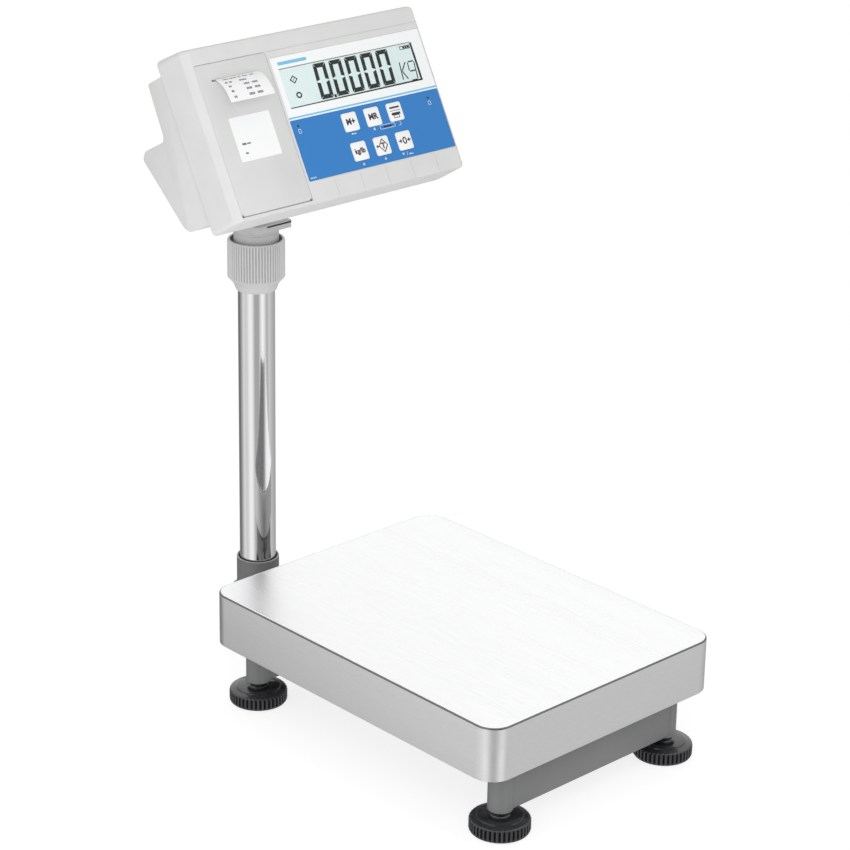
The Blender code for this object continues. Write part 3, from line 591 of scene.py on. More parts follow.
def soften(obj, width, angle=30):
    """Rounds the piece's sharp edges."""
    step = obj.modifiers.new("soften", "BEVEL")
    step.width = width
    step.segments = 2
    step.limit_method = "ANGLE"
    step.angle_limit = math.radians(angle)
    step.harden_normals = True


def refinish(obj, finish, chosen):
    """Gives another material to the faces that chosen(centre, normal) picks, in the piece's own frame."""
    obj.data.materials.append(finish)
    index = len(obj.data.materials) - 1
    for face in obj.data.polygons:
        if chosen(face.center, face.normal):
            face.material_index = index


def between_ribs(low, high, inner, floor):
    """Picks the faces at the bottom of the grooves in a ribbed wall, which are given a darker material as
    painted shade.
    """
    def chosen(centre, normal):
        radius = math.hypot(centre.x, centre.y)
        return low < centre.z < high and inner < radius < floor and abs(normal.z) < 0.3

    return chosen


# Printed marks and films on the face, from outlines in (x, rise)

def flat(outline, front, thickness=FILM):
    """A thin film, its front at depth front."""
    return prism(outline, front, front + thickness, "y")


def box_mark(left, right, bottom, top, front):
    """A plain printed rectangle, from millimetres."""
    return flat(mm(corners_of(left, right, bottom, top)), front)


def holed(outline, holes, front, back):
    """A flat sheet with holes, from one filled curve."""
    curve = bpy.data.curves.new("sheet", "CURVE")
    curve.dimensions = "2D"
    curve.fill_mode = "BOTH"
    curve.extrude = (back - front) / 2
    for loop in (outline, *holes):
        spline = curve.splines.new("POLY")
        spline.points.add(len(loop) - 1)
        for point, (x, rise) in zip(spline.points, loop):
            point.co = (x, rise, 0, 1)
        spline.use_cyclic_u = True
    shape = baked(add_object("sheet", curve), 0.001 * MM)
    moved(shape, at(0, (front + back) / 2, 0) @ TOWARDS_FRONT)
    bmesh.ops.recalc_face_normals(shape, faces=shape.faces)
    return shape


def line(points, width, front, closed=False):
    """A printed line."""
    left, right = stroke(points, width, closed)
    if closed:
        outer, inner = (left, right) if abs(area(left)) > abs(area(right)) else (right, left)
        return holed(outer, (inner,), front, front + FILM)
    return flat(left + right[::-1], front)


def lettering(words, size, x, rise, front):
    """Generic characters, centred on x and rise."""
    curve = bpy.data.curves.new("words", "FONT")
    curve.body = words
    curve.size = size
    curve.extrude = FILM / 2
    curve.offset = 0.04 * size
    curve.resolution_u = 4
    curve.align_x = "CENTER"
    curve.align_y = "CENTER"
    shape = baked(add_object("words", curve), 0.0005 * MM)
    return moved(shape, at(x, front + FILM / 2, rise) @ TOWARDS_FRONT)


# Base frame and tray

def channel(half, low, high, wall=2.5 * MM):
    """The outline of an inverted U with rounded bends."""
    inner, roof = half - wall, high - wall
    outline = [(-half, low), (-half, high), (half, high), (half, low)]
    outline += [(inner, low), (inner, roof), (-inner, roof), (-inner, low)]
    return rounded(outline, 2.4 * MM)


def add_crossmember(end):
    """The channel and its two hollow legs, with a weld where they meet."""
    low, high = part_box(end + "_crossmember")
    y = (low.y + high.y) / 2
    half = (BEAM_HIGH.y - BEAM_LOW.y) / 2
    reach = BEAM_HIGH.x - half
    bottom, top = BEAM_LOW.z + 2.5 * MM, BEAM_HIGH.z
    outline = [(y + across, z) for across, z in channel(half, bottom, top)]
    node = end + "_crossmember"
    piece(node + "_channel", prism(outline, -reach, reach, "x", 0.3 * MM), frame_paint, "base", (node,))
    leg = mm([(0, -0.05)], 0, top) + mm([(-1, -0.05), (0, -1)], half, top)
    leg += mm([(0, 0.6), (-0.6, 0), (-2.5, 0)], half, BEAM_LOW.z)
    leg += mm([(-2.5, -5)], half, top) + mm([(0, -5)], 0, top)
    for side_name, side in SIDES:
        spot = at(side * reach, y, 0)
        piece(f"leg_{end}_{side_name}", turned(leg, 64), frame_paint, "base", place=spot)
        for face_name, face in (("front", -1), ("rear", 1)):
            weld = weld_bead(bottom + 1 * MM, top - 2 * MM)
            spot = at(side * (reach - 4.2 * MM), y + face * (half - 0.9 * MM), 0)
            piece(f"weld_{end}_{side_name}_{face_name}", weld, frame_paint, "base", place=spot)


def weld_bead(low, high):
    """An upright rippled bead."""
    pitch, radius = 1.6 * MM, 1.5 * MM
    profile = [(0, low)]
    for step in range(int((high - low) / pitch) * 4 + 1):
        ripple = 0.82 + 0.18 * abs(math.sin(math.pi * step / 4))
        profile.append((radius * ripple, low + step * pitch / 4))
    profile.append((0, profile[-1][1]))
    return turned(profile, 12)


def add_spine():
    """The channel between the crossmembers, and the load cell's bolts from above."""
    outline = channel(SPINE_HIGH.x, SPINE_LOW.z, SPINE_HIGH.z)
    shape = prism(outline, SPINE_LOW.y, SPINE_HIGH.y, "y", 0.3 * MM)
    piece("spine_channel", shape, frame_paint, "base", ("base_spine",))
    for index, forward in enumerate((36 * MM, 58 * MM)):
        for side_name, side in SIDES:
            washer = cylinder(7 * MM, -1.2 * MM, 0, 0.2 * MM)
            head = prism(hexagon(5.8 * MM), -5.4 * MM, -1.2 * MM, edge=0.5 * MM)
            spot = at(side * 11 * MM, TRAY_Y + forward, SPINE_HIGH.z - 2.6 * MM)
            piece(f"cell_bolt_{index}_{side_name}", merged(washer, head), zinc, "base", place=spot)


def add_foot(corner):
    """The soft sole and the knurled wheel above it, with its stud's thread."""
    low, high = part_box("foot_wheel_" + corner)
    radius = (high.x - low.x) / 2
    spot = axis_of("foot_wheel_" + corner)
    sole = [(0, 3), (25.7, 3), (26.1, 2.6), (26.1, 0.4), (25.7, 0)]
    for outer, inner in ((22, 18), (13, 9)):
        sole += [(outer, 0), (outer - 0.5, 0.6), (inner + 0.5, 0.6), (inner, 0)]
    sole = turned(mm(sole + [(0, 0)]), 64)
    piece("sole_" + corner, sole, sole_rubber, "foot_sole_" + corner, ("foot_sole_" + corner,), spot)
    pitch = 1.5 * MM
    profile = mm([(0, 0), (4, 0)], 0, high.z)
    for turn in range(int((high.z - 24 * MM) / pitch)):
        profile += mm([(4.9, -1), (4.1, -1.75)], 0, high.z - turn * pitch)
    profile += mm([(5, 22.2), (8.6, 22.2), (9, 21.8), (9, 18), (10, 17), (20.6, 16.9), (21.8, 16.4)])
    profile += mm([(22.2, 15.4), (23.2, 14.9), (25.6, 14.5), (27.6, 13.9), (28.7, 13.1, 0.5)])
    profile += mm([(0, 11.9, 1), (0, 3, 1), (-0.4, 2, 0.8)], radius)
    profile += [(radius - 1.2 * MM, low.z), (26.4 * MM, low.z)] + mm([(26.4, 3.3), (0, 3.3)])
    ribs, groove = 40, 2 * MM
    shape = turned(profile, ribs * 8, ribs, groove)
    node = "foot_wheel_" + corner
    wheel = piece("wheel_" + corner, shape, foot_plastic, node, (node,), spot)
    # The groove bottoms are painted darker, as the shade between the ribs
    refinish(wheel, foot_painted_shade, between_ribs(3 * MM, 11.9 * MM, 27 * MM, radius - groove * 0.45))


def tray_loop(distance, z):
    """A horizontal loop of the tray, that far in from its outer wall."""
    (left, front, _), (right, back, _) = TRAY_LOW, TRAY_HIGH
    sides = (left + distance, right - distance, front + distance, back - distance)
    return [(x, y, z) for x, y in rounded_rectangle(*sides, max(22 * MM - distance, 2 * MM), 10)]


def add_tray():
    """Deep-drawn sheet: a rolled top edge, a plain skirt with a hemmed lip, and the same again inside."""
    sheet, roll = 1.2 * MM, 2.2 * MM
    low, top = TRAY_LOW.z, TRAY_TOP
    outer = mm([(0.05, 0.25), (0, 0.7)], 0, low) + [(0, top - roll)]
    for step in range(1, 6):
        angle = math.radians(18 * step)
        outer.append((roll * (1 - math.cos(angle)), top - roll + roll * math.sin(angle)))
    rim = roll + 1 * MM
    skirt = outer + [(rim, top), (rim, top - sheet)]
    skirt += [(max(distance, sheet), z - sheet) for distance, z in outer[-2:2:-1]]
    skirt += mm([(1.2, 2.2), (1.9, 1.8), (1.9, 0.3), (1.6, 0), (0.3, 0)], 0, low)
    loops = [tray_loop(distance, z) for distance, z in skirt]
    shape = loft(loops + [loops[0]], ends=False)
    bmesh.ops.remove_doubles(shape, verts=shape.verts, dist=0.001 * MM)
    bmesh.ops.recalc_face_normals(shape, faces=shape.faces)
    skirt = piece("tray_skirt", shape, skirt_steel, "tray", ("weighing_tray",), angle=50)
    # The faces round the rolled edge take the dark steel as painted shade
    refinish(skirt, tray_edge_painted_shade, lambda centre, normal: centre.z > top - roll and 0.25 < normal.z < 0.93)
    plate = loft([tray_loop(rim - 0.02 * MM, z) for z in (top - sheet, top)])
    piece("tray_plate", plate, tray_steel, "tray")


def add_platform():
    """The plate and rails that carry the tray, with their pads and screws."""
    keep(machined, "platform_plate", "platform_rail_left", "platform_rail_right", "load_cell")
    keep(zinc, "cell_spacer_lower", "cell_spacer_upper", *("stop_screw_" + corner for corner in CORNERS))
    for corner in CORNERS:
        low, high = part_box("tray_pad_" + corner)
        spot = axis_of("tray_pad_" + corner)
        pad = mm([(0, 0), (9, 0), (9, 1)], 0, low.z)
        pad += mm([(7.4, -0.6), (6.8, 0), (2.4, 0), (2, -0.8), (0, -0.8)], 0, high.z)
        piece("pad_" + corner, turned(pad, 40), sole_rubber, "base", ("tray_pad_" + corner,), spot)
    plate_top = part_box("platform_plate")[1].z
    for index, forward in enumerate((-56 * MM, -38 * MM)):
        for side_name, side in SIDES:
            spot = at(side * 11 * MM, TRAY_Y + forward, plate_top)
            piece(f"plate_screw_{index}_{side_name}", socket_screw(5 * MM, 5 * MM), zinc, "base", place=spot)


def socket_screw(radius, height):
    """A cap screw's head with its hexagonal socket."""
    socket = prism(hexagon(radius * 0.5), height * 0.4, height * 2)
    return carve(cylinder(radius, 0, height, 0.5 * MM), [socket])


# Pillar, clamp and head

def add_arm():
    """The bracket that carries the pillar, its bolts and the level."""
    y, half = ARM_LOW.y, ARM_HIGH.x
    plan = [(-half, y), (half, y)] + arc(0, PILLAR_Y, half, range(0, 181, 6))
    shape = prism(plan, ARM_LOW.z, ARM_HIGH.z, "z", 1.2 * MM)
    bore = moved(cylinder(COLLAR_RADIUS + 0.2 * MM, 0, 0.2, steps=64), at(0, PILLAR_Y, 0))
    piece("bracket_arm", carve(shape, [bore]), frame_paint, "base", ("pillar_bracket",))
    for side_name, side in SIDES:
        head = prism(hexagon(6.2 * MM), 1.5 * MM, 6.5 * MM, "z", 0.6 * MM)
        bolt = merged(cylinder(8 * MM, 0, 1.5 * MM, 0.3 * MM), head)
        piece("arm_bolt_" + side_name, bolt, zinc, "base", place=at(side * 17 * MM, y + 12 * MM, ARM_HIGH.z))
    low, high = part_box("level_vial")
    spot = at(0, (low.y + high.y) / 2, 0)
    bezel = mm([(10, 0)], 0, low.z) + mm([(10, -0.8), (9.4, 0), (8, 0)], 0, high.z) + mm([(8, 0)], 0, low.z)
    piece("vial_bezel", turned(bezel, 48), black, "base", ("level_vial",), spot)
    cap = mm([(0, 0), (7.9, 0)], 0, low.z) + mm([(7.9, -1.2), (5, -0.6), (0, -0.4)], 0, high.z)
    piece("vial_glass", turned(cap, 48), vial_liquid, "base", place=spot)
    mark = mm([(3.4, -0.4), (3.4, -0.1), (3.0, -0.1), (3.0, -0.4)], 0, high.z)
    piece("vial_ring", turned(mark, 40), print_black, "base", place=spot)


def add_pillar():
    """The collar with its bright lip and dark seal, and the chromed tube."""
    axis = at(0, PILLAR_Y, 0)
    low, high = COLLAR_LOW.z, COLLAR_HIGH.z
    sleeve = TUBE_RADIUS + 0.3 * MM
    collar = mm([(-0.5, -0.4), (0, -1)], COLLAR_RADIUS, high) + mm([(0, 0.8), (-0.8, 0)], COLLAR_RADIUS, low)
    collar += mm([(11, 0), (11, 6)], 0, low) + [(sleeve, low + 6 * MM), (sleeve, high - 8 * MM)]
    collar += mm([(20.4, -5), (20.4, -0.4)], 0, high)
    piece("collar_sleeve", turned(collar), collar_plastic, "base", ("pillar_collar",), axis)
    lip = mm([(22.1, -0.4), (22.0, 0), (21.2, 0), (21.1, -0.4)], 0, high)
    piece("collar_lip", turned(lip), lip_plastic, "base", place=axis)
    seal = mm([(20.3, -2), (20.3, -5), (19.2, -6), (19.1, -2.6)], 0, high)
    piece("collar_seal", turned(seal), sole_rubber, "base", place=axis)
    tube = mm([(-0.3, 0), (0, -0.3)], TUBE_RADIUS, TUBE_HIGH.z)
    tube += mm([(0, 0), (-1.5, 0)], TUBE_RADIUS, TUBE_LOW.z) + mm([(-1.5, 0)], TUBE_RADIUS, TUBE_HIGH.z)
    piece("chrome_tube", turned(tube, 160), chrome, "base", ("pillar_tube",), axis)


def add_clamp():
    """The ribbed nut with a dark ring in its mouth, painted shade for the gap there, its groove bottoms
    painted darker as shade, and the collet that it squeezes.
    """
    axis = at(0, PILLAR_Y, 0)
    low, top = NUT_LOW.z, NUT_HIGH.z
    collet_low, collet_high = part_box("pillar_collet")
    sleeve = TUBE_RADIUS + 0.3 * MM
    nut = mm([(-1.6, 0), (-0.9, -0.3, 0.2), (-0.2, -1.1, 0.8), (0, -1.8, 1)], NUT_RADIUS, top)
    nut += mm([(0, 14, 1), (-0.3, 13.3, 0.8), (-1.5, 12.4)], NUT_RADIUS, low)
    nut += mm([(24.6, 8.6), (23.4, 7.4), (22.6, 5), (20.9, 0.6), (20.5, 0)], 0, low)
    nut += [(sleeve, low), (sleeve, collet_low.z - 0.3 * MM)] + mm([(22.7, -0.3)], 0, collet_low.z)
    nut += mm([(22.7, 0.3), (26.4, 6)], 0, collet_high.z) + mm([(26.4, -0.4), (26.8, 0)], 0, top)
    ribs, groove = 58, 1.35 * MM
    shape = turned(nut, ribs * 8, ribs, groove)
    ribbed = piece("ribbed_nut", shape, nut_plastic, "clamp_nut", ("clamp_nut",), axis)
    # The groove bottoms get the darker grey as painted shade between the ribs
    grooves = between_ribs(low + 14 * MM, top - 1.8 * MM, 27 * MM, NUT_RADIUS - groove * 0.55)
    refinish(ribbed, nut_painted_shade, grooves)
    # A dark rubber ring in the nut's mouth: painted shade, standing for the dark gap round the head
    shade_ring = mm([(26.3, -1.3), (26.3, -3.2), (23.3, -3.6), (23.3, -2)], 0, top)
    piece("nut_shade_ring", turned(shade_ring), sole_rubber, "clamp_nut", place=axis)
    keep(black, "pillar_collet")


def add_head():
    """Flange and top block, the tongue that the indicator tilts on, and its bolt."""
    block_low, block_high = TRAY_TOP + 321.8 * MM, TRAY_TOP + 329.9 * MM
    flange = mm([(0, 1), (23, 1), (23, -4), (22.5, -4.6), (22.5, -5.8), (23, -6.4)], 0, block_low)
    flange += mm([(23, 0.8), (22.5, 0.3)], 0, TUBE_HIGH.z)
    flange += mm([(-1.9, 0.3), (-1.9, -40)], TUBE_RADIUS, TUBE_HIGH.z) + mm([(0, -40)], 0, TUBE_HIGH.z)
    piece("head_flange", turned(flange), head_plastic, "head", ("swivel_head",), at(0, PILLAR_Y, 0))
    half, reach = 22.6 * MM, NUT_RADIUS
    front = PILLAR_Y - reach
    plan = rounded_rectangle(-half, half, front, PILLAR_Y + reach, 2 * MM, 4)
    shape = prism(plan, block_low, block_high, "z", 0.7 * MM)
    low = (-10 * MM, front - 1 * MM, block_high - 2.9 * MM)
    slot = box(low, (24 * MM, front + 3 * MM, block_high - 1 * MM))
    piece("head_block", carve(shape, [slot]), head_plastic, "head")
    # A black block in the slot: painted shade where the slot falls dark
    low = (-9.8 * MM, front + 0.3 * MM, block_high - 2.8 * MM)
    shade_block = box(low, (22 * MM, front + 2.8 * MM, block_high - 1.1 * MM))
    piece("head_slot_shade_block", shade_block, black, "head")
    pivot = TRAY_TOP + 364.8 * MM
    tongue = mm([(-17, -1), (17, -1), (12.6, 5)], PILLAR_Y, block_high)
    tongue += arc(PILLAR_Y, pivot, 12 * MM, range(0, 181, 9)) + mm([(-12.6, 5)], PILLAR_Y, block_high)
    piece("head_tongue", prism(tongue, -7 * MM, 7 * MM, "x", 0.8 * MM), head_plastic, "head")
    bolt_at = at(0, PILLAR_Y, pivot) @ ALONG_X
    shaft = cylinder(3.9 * MM, -19.5 * MM, 19.5 * MM, 0.4 * MM)
    piece("tilt_bolt_shaft", shaft, zinc, "head", ("tilt_bolt",), bolt_at)
    for name, low, middle, high in (("right", 12.5, 14, 19.2), ("left", -12.5, -14, -19.2)):
        hexed = prism(hexagon(7.6 * MM), min(middle, high) * MM, max(middle, high) * MM, "z", 0.7 * MM)
        washer = cylinder(8 * MM, min(low, middle) * MM, max(low, middle) * MM, 0.3 * MM)
        piece("tilt_bolt_hex_" + name, hexed, zinc, "head", place=bolt_at)
        piece("tilt_bolt_washer_" + name, washer, zinc, "head", place=bolt_at)


# Indicator case

def face_loops(profile):
    """Loops round the face from (half width, bottom, top, corner, depth) rows."""
    loops = []
    for half, bottom, top, corner, depth in profile:
        loops.append([(x, depth, rise) for x, rise in rounded_rectangle(-half, half, bottom, top, corner)])
    return loops


def bezel_profile(wall=0.0):
    """Face, chamfer and side, in rows for face_loops, moved inwards by the wall's thickness."""
    rows = [
        (FACE_HALF_WIDTH - 5 * MM, -FACE_HEIGHT + 5 * MM, -5 * MM, 2 * MM, 0),
        (FACE_HALF_WIDTH, -FACE_HEIGHT, 0, 3.5 * MM, 0),
        (CASE_HALF_WIDTH, -FACE_HEIGHT - 0.3 * MM, 2.7 * MM, 5 * MM, 8 * MM),
        (CASE_HALF_WIDTH, -FACE_HEIGHT - 1.9 * MM, 4.3 * MM, 5.5 * MM, CASE_SPLIT),
    ]
    moved_in = []
    for half, bottom, top, corner, depth in rows:
        depth += wall if depth < CASE_SPLIT else 0
        moved_in.append((half - wall, bottom + wall, top - wall, corner - wall * 0.6, depth))
    return moved_in


def key_centres():
    for names, rise in zip(KEY_NAMES, KEY_ROWS):
        for name, x in zip(names, KEY_COLUMNS):
            yield name, x, rise


def key_outline(x, rise, margin=0.0):
    half = KEY_SIZE / 2 + margin
    return rounded_rectangle(x - half, x + half, rise - half, rise + half, 2.2 * MM + margin, 5)


def through(outline):
    """A cutter through the face."""
    return prism(outline, -10 * MM, 10 * MM, "y")


def add_bezel():
    """The front moulding, hollow, with its windows, the overlay's pocket and the grooved strip."""
    loops = face_loops(rounded(bezel_profile(), 1 * MM, closed=False))
    hollow = rounded(bezel_profile(2.5 * MM), 1.5 * MM, closed=False)
    half, bottom, top, corner, depth = hollow[-1]
    hollow.append((half, bottom, top, corner, depth + 5 * MM))
    left, right, low, high = OVERLAY
    gap = 0.3 * MM
    pocket = rounded_rectangle(left - gap, right + gap, low - gap, high + gap, 1.2 * MM, 3)
    cutters = [loft(face_loops(hollow)), prism(pocket, -5 * MM, 0.6 * MM, "y")]
    cutters.append(through(rounded_rectangle(*DISPLAY, 0.8 * MM, 3)))
    left, right, low, high = COVER
    gap = 0.35 * MM
    hinge_room = 2 * MM
    for top, corner in ((high + gap, 2.8 * MM), (low + 8 * MM, 0.3 * MM)):
        opening = rounded_rectangle(left - gap, right + gap, low - hinge_room, top, corner, 5)
        cutters.append(through(opening))
    for _, x, rise in key_centres():
        cutters.append(through(key_outline(x, rise, 0.3 * MM)))
    groove, deep = 0.7 * MM, 0.5 * MM
    pitch, edge = 32.9 * MM, 141.4 * MM
    below = -FACE_HEIGHT - 1 * MM
    top_line = high - 0.3 * MM
    for index in range(1, 6):
        x = right + gap + index * pitch
        cutters.append(box((x - groove / 2, -deep, below), (x + groove / 2, deep, OVERLAY[2] - 2 * MM)))
    cutters.append(box((right + 1 * MM, -deep, top_line), (edge, deep, top_line + groove * 0.7)))
    cutters.append(box((edge - groove * 0.7, -deep, below), (edge, deep, top_line)))
    shape = carve(loft(loops), cutters)
    soften(on_face("bezel_moulding", shape, case, replaces=("front_bezel",)), 0.22 * MM)


REAR_OUTLINE = (
    # depth, rise of the shallow block and the wedge behind the rim, in millimetres
    (43, -9.4),
    (73.5, -9.6),
    (76, -62),
    (79, -66),
    (112, -66),
    (118.5, -72.5),
    (90, -149),
    (84.5, -155),
    (43, -157.2),
)


def add_rear_shell():
    """The back moulding: a rim, a shallow block and the wedge, hollow and open in front."""
    half = CASE_HALF_WIDTH - 0.5 * MM
    start, end = CASE_SPLIT + 0.3 * MM, 46 * MM
    rim_rows = [
        (half, -168.9 * MM, 4.3 * MM, 5.5 * MM, start),
        (half, -169 * MM, 4.6 * MM, 5.5 * MM, end),
        (half - 4 * MM, -165 * MM, 0.6 * MM, 3 * MM, end),
    ]
    rim = loft(face_loops(rounded(rim_rows, 1.8 * MM, closed=False)))
    body_half, wall = 143.5 * MM, 2.2 * MM
    body = prism(rounded(mm(REAR_OUTLINE), 3.2 * MM), -body_half, body_half, "x", 1.6 * MM)
    open_front = [(min(depth, 30) if depth < 50 else depth, rise) for depth, rise in REAR_OUTLINE]
    inner = rounded(inset(mm(reversed(open_front)), wall), 3 * MM)
    mouth_rows = [(half - 2 * MM, -166.8 * MM, 2.2 * MM, 7 * MM, depth) for depth in (20 * MM, 43.8 * MM)]
    cutters = [prism(inner, -body_half + wall, body_half - wall, "x"), loft(face_loops(mouth_rows))]
    cutters.append(block((90, 60, -45), (104, 90, -25)))
    cutters.append(block((51.6, 60, -44.4), (68.4, 90, -27.6)))
    for index in range(9):
        x = -100 + 9 * index
        cutters.append(prism(panel(x - 1.4, x + 1.4, -56, -22, 1.4, 4), 66 * MM, 84 * MM, "y"))
    shape = carve(body, cutters, [rim])
    soften(on_face("rear_moulding", shape, case, replaces=("rear_shell",), angle=30), 0.3 * MM, 35)
    for index, (x, rise) in enumerate(((-136, -3.2), (136, -3.2), (-136, -163.2), (136, -163.2))):
        screw = moved(cross_screw(2.6 * MM), at_mm(x, 46, rise) @ TOWARDS_BACK)
        on_face(f"case_screw_{index}", screw, zinc)
    plate = prism(panel(-20, 34, -54, -24, 2), 0, 0.15 * MM, "y")
    tilt = Matrix.Rotation(-math.atan2(2.5, 52.4), 4, "X")
    on_face("rating_plate_blank", moved(plate, at_mm(0, 73.85, -9.6) @ tilt), film_white)


def cross_screw(radius):
    """A pan head with a crossed recess, standing up from z 0."""
    profile = mm([(0, -0.5)]) + mm([(0, -0.5), (0, 0.3)], radius)
    profile += [(radius * 0.8, 1.1 * MM), (radius * 0.4, 1.5 * MM), (0, 1.6 * MM)]
    arm, reach = radius * 0.14, radius * 0.6
    bars = [((-reach, -arm), (reach, arm)), ((-arm, -reach), (arm, reach))]
    return carve(turned(profile, 32), [box((*low, 0.7 * MM), (*high, 3 * MM)) for low, high in bars])


def add_power_parts():
    """The rocker with its two plain marks, and the round inlet with its pin."""
    outline = [(70, -9), (76.6, -9), (78.6, -3), (79.3, 0), (79.4, 4), (79, 9), (70, 9)]
    cap = prism(rounded(mm(outline, 0, -35 * MM), 0.8 * MM), 90.6 * MM, 103.4 * MM, "x", 0.5 * MM)
    on_face("rocker_cap", cap, black, "power_rocker", ("power_rocker",))
    mark = holed(circle(0, 0, 1.8 * MM), (circle(0, 0, 1.3 * MM),), 0, 0.1 * MM)
    on_face("rocker_mark_off", moved(mark, at_mm(97, 79.35, -31)), print_white, "power_rocker")
    bar = block((96.75, 77.6, -42.2), (97.25, 77.9, -39.2))
    on_face("rocker_mark_on", bar, print_white, "power_rocker")
    hole = panel(90.2, 103.8, -44.8, -25.2, 0.8)
    ring = holed(panel(88.6, 105.4, -46.4, -23.6, 1.5), (hole,), 73.6 * MM, 76.4 * MM)
    on_face("rocker_frame", ring, black)
    shell = block((52, 61, -44), (68, 77.5, -28), 1)
    bore = moved(cylinder(5.4 * MM, 0, 20 * MM, steps=40), at_mm(60, 64, -36) @ TOWARDS_BACK)
    on_face("inlet_shell", carve(shell, [bore]), black, replaces=("power_inlet",))
    pin = moved(cylinder(1 * MM, 0, 9 * MM, 0.4 * MM, 20), at_mm(60, 63.9, -36) @ TOWARDS_BACK)
    on_face("inlet_pin", pin, zinc)


# Display, overlay and keys

DIGIT_LEAN = 0.055  # sideways, as a share of the height


def segment_bars(width, height, thick):
    """The six bars of a seven-segment 0, as outlines from its top left corner in millimetres."""
    gap, tip = 0.45, thick * 0.5
    near, far = gap + tip * 1.6, width - gap - tip * 1.6
    middle = -height / 2
    bars = [
        [(gap, 0), (width - gap, 0), (far, -thick), (near, -thick)],
        [(gap, -height), (width - gap, -height), (far, -height + thick), (near, -height + thick)],
    ]
    for outer, inner in ((0, thick), (width, width - thick)):
        for top, bottom in ((-gap * 1.6, middle + gap), (middle - gap, -height + gap * 1.6)):
            high_slope = tip * 1.7 if top > middle else tip * 0.6
            low_slope = tip * 0.6 if bottom > -height * 0.75 else tip * 1.7
            slopes = [(inner, top - high_slope), (inner, bottom + low_slope)]
            bars.append([(outer, top), *slopes, (outer, bottom)])
    return bars


def add_display():
    """Glass, dark lines painted at the window's right, bottom and top edges as the shade in its recess,
    digits and the small signs under the clear window.
    """
    left, right, bottom, top = DISPLAY
    front, margin, gap = 0.62 * MM, 4 * MM, 0.1 * MM
    outer = rounded_rectangle(left - margin, right + margin, bottom - margin, top + margin, 0.5 * MM, 2)
    on_face("panel_backing", prism(outer, 2.9 * MM, 5.9 * MM, "y"), board_green, replaces=("display_panel",))
    inner = rounded_rectangle(left + gap, right - gap, bottom + gap, top - gap, 0.8 * MM, 3)
    on_face("panel_front", prism(inner, front, 2.8 * MM, "y"), panel_glass)
    on_face("window_film", prism(inner, 0.1 * MM, 0.35 * MM, "y"), clear, replaces=("display_lens",))
    printed = front - 0.09 * MM
    # Painted shade: dark strips along the window's right, bottom and top edges, for the shadow on the
    # recess's walls
    shade_lines = (
        ("right_shade_line", right, bottom, [(-2.4, 39), (-0.2, 39), (-0.2, 0.2), (-2.4, 0.2)], lcd_black_and_shade),
        ("bottom_shade_line", left, bottom, [(0.3, 1.1), (169.6, 1.8), (169.6, 0.2), (0.3, 0.2)], lcd_black_and_shade),
        ("top_shade_line", left, top, [(0.3, -0.2), (170, -0.2), (170, -0.7), (0.3, -0.8)], lcd_faint_and_shade),
    )
    for name, x, rise, points, finish in shade_lines:
        on_face(name, flat(mm(points, x, rise), printed), finish)
    for digit in range(5):
        bars = []
        for bar in segment_bars(15.6, 35.4, 4.3):
            leaned = [(across + rise * DIGIT_LEAN, rise) for across, rise in bar]
            bars.append(flat(mm(leaned, (-2.8 + 20.25 * digit) * MM, -36.1 * MM), printed))
        on_face(f"digit_{digit}", merged(*bars), lcd_black_and_shade)
    on_face("decimal_point", flat(panel(11.7, 14.6, -72, -69, 0.6), printed), lcd_black_and_shade)
    add_unit_sign(printed)
    outline = line(mm(corners_of(110.6, 123.6, -36.9, -39.9)), 0.6 * MM, printed, closed=True)
    on_face("battery_outline", outline, lcd_black_and_shade)
    blocks = [box_mark(x, x + 2.5, -39.4, -37.4, printed) for x in (114.2, 117.3, 120.4)]
    on_face("battery_blocks", merged(*blocks), lcd_black_and_shade)
    diamond = mm([(-34.6, -46.6), (-30.4, -43.2), (-26.4, -46.6), (-30.4, -50.2)])
    on_face("stable_diamond", line(diamond, 1 * MM, printed, closed=True), lcd_black_and_shade)
    dash = mm([(-33, -48.6), (-28, -44.6)])
    on_face("stable_dash", line(dash, 0.6 * MM, printed), lcd_faint_and_shade)
    oval = circle(-29.8 * MM, -62.3 * MM, 2.8 * MM, 28, 2.4 * MM)
    on_face("zero_sign", line(oval, 1.5 * MM, printed, closed=True), lcd_black_and_shade)


def add_unit_sign(printed):
    """The unit, kg, in thin segments: stem, arm and leg, then top, left, middle, right and foot."""
    strokes = (
        [(104.2, -52), (102.6, -69.6)],
        [(111.6, -53), (105, -60.6)],
        [(104.6, -61.2), (109.2, -69.8)],
        [(115.2, -53.2), (122.2, -53.2)],
        [(114.4, -54), (113.8, -62)],
        [(114.4, -62.8), (121.2, -62.8)],
        [(122.8, -54), (121.4, -71.4)],
        [(120.6, -72), (113.6, -72)],
    )
    marks = [line(mm(points), 1.25 * MM, printed) for points in strokes]
    on_face("unit_sign", merged(*marks), lcd_black_and_shade)


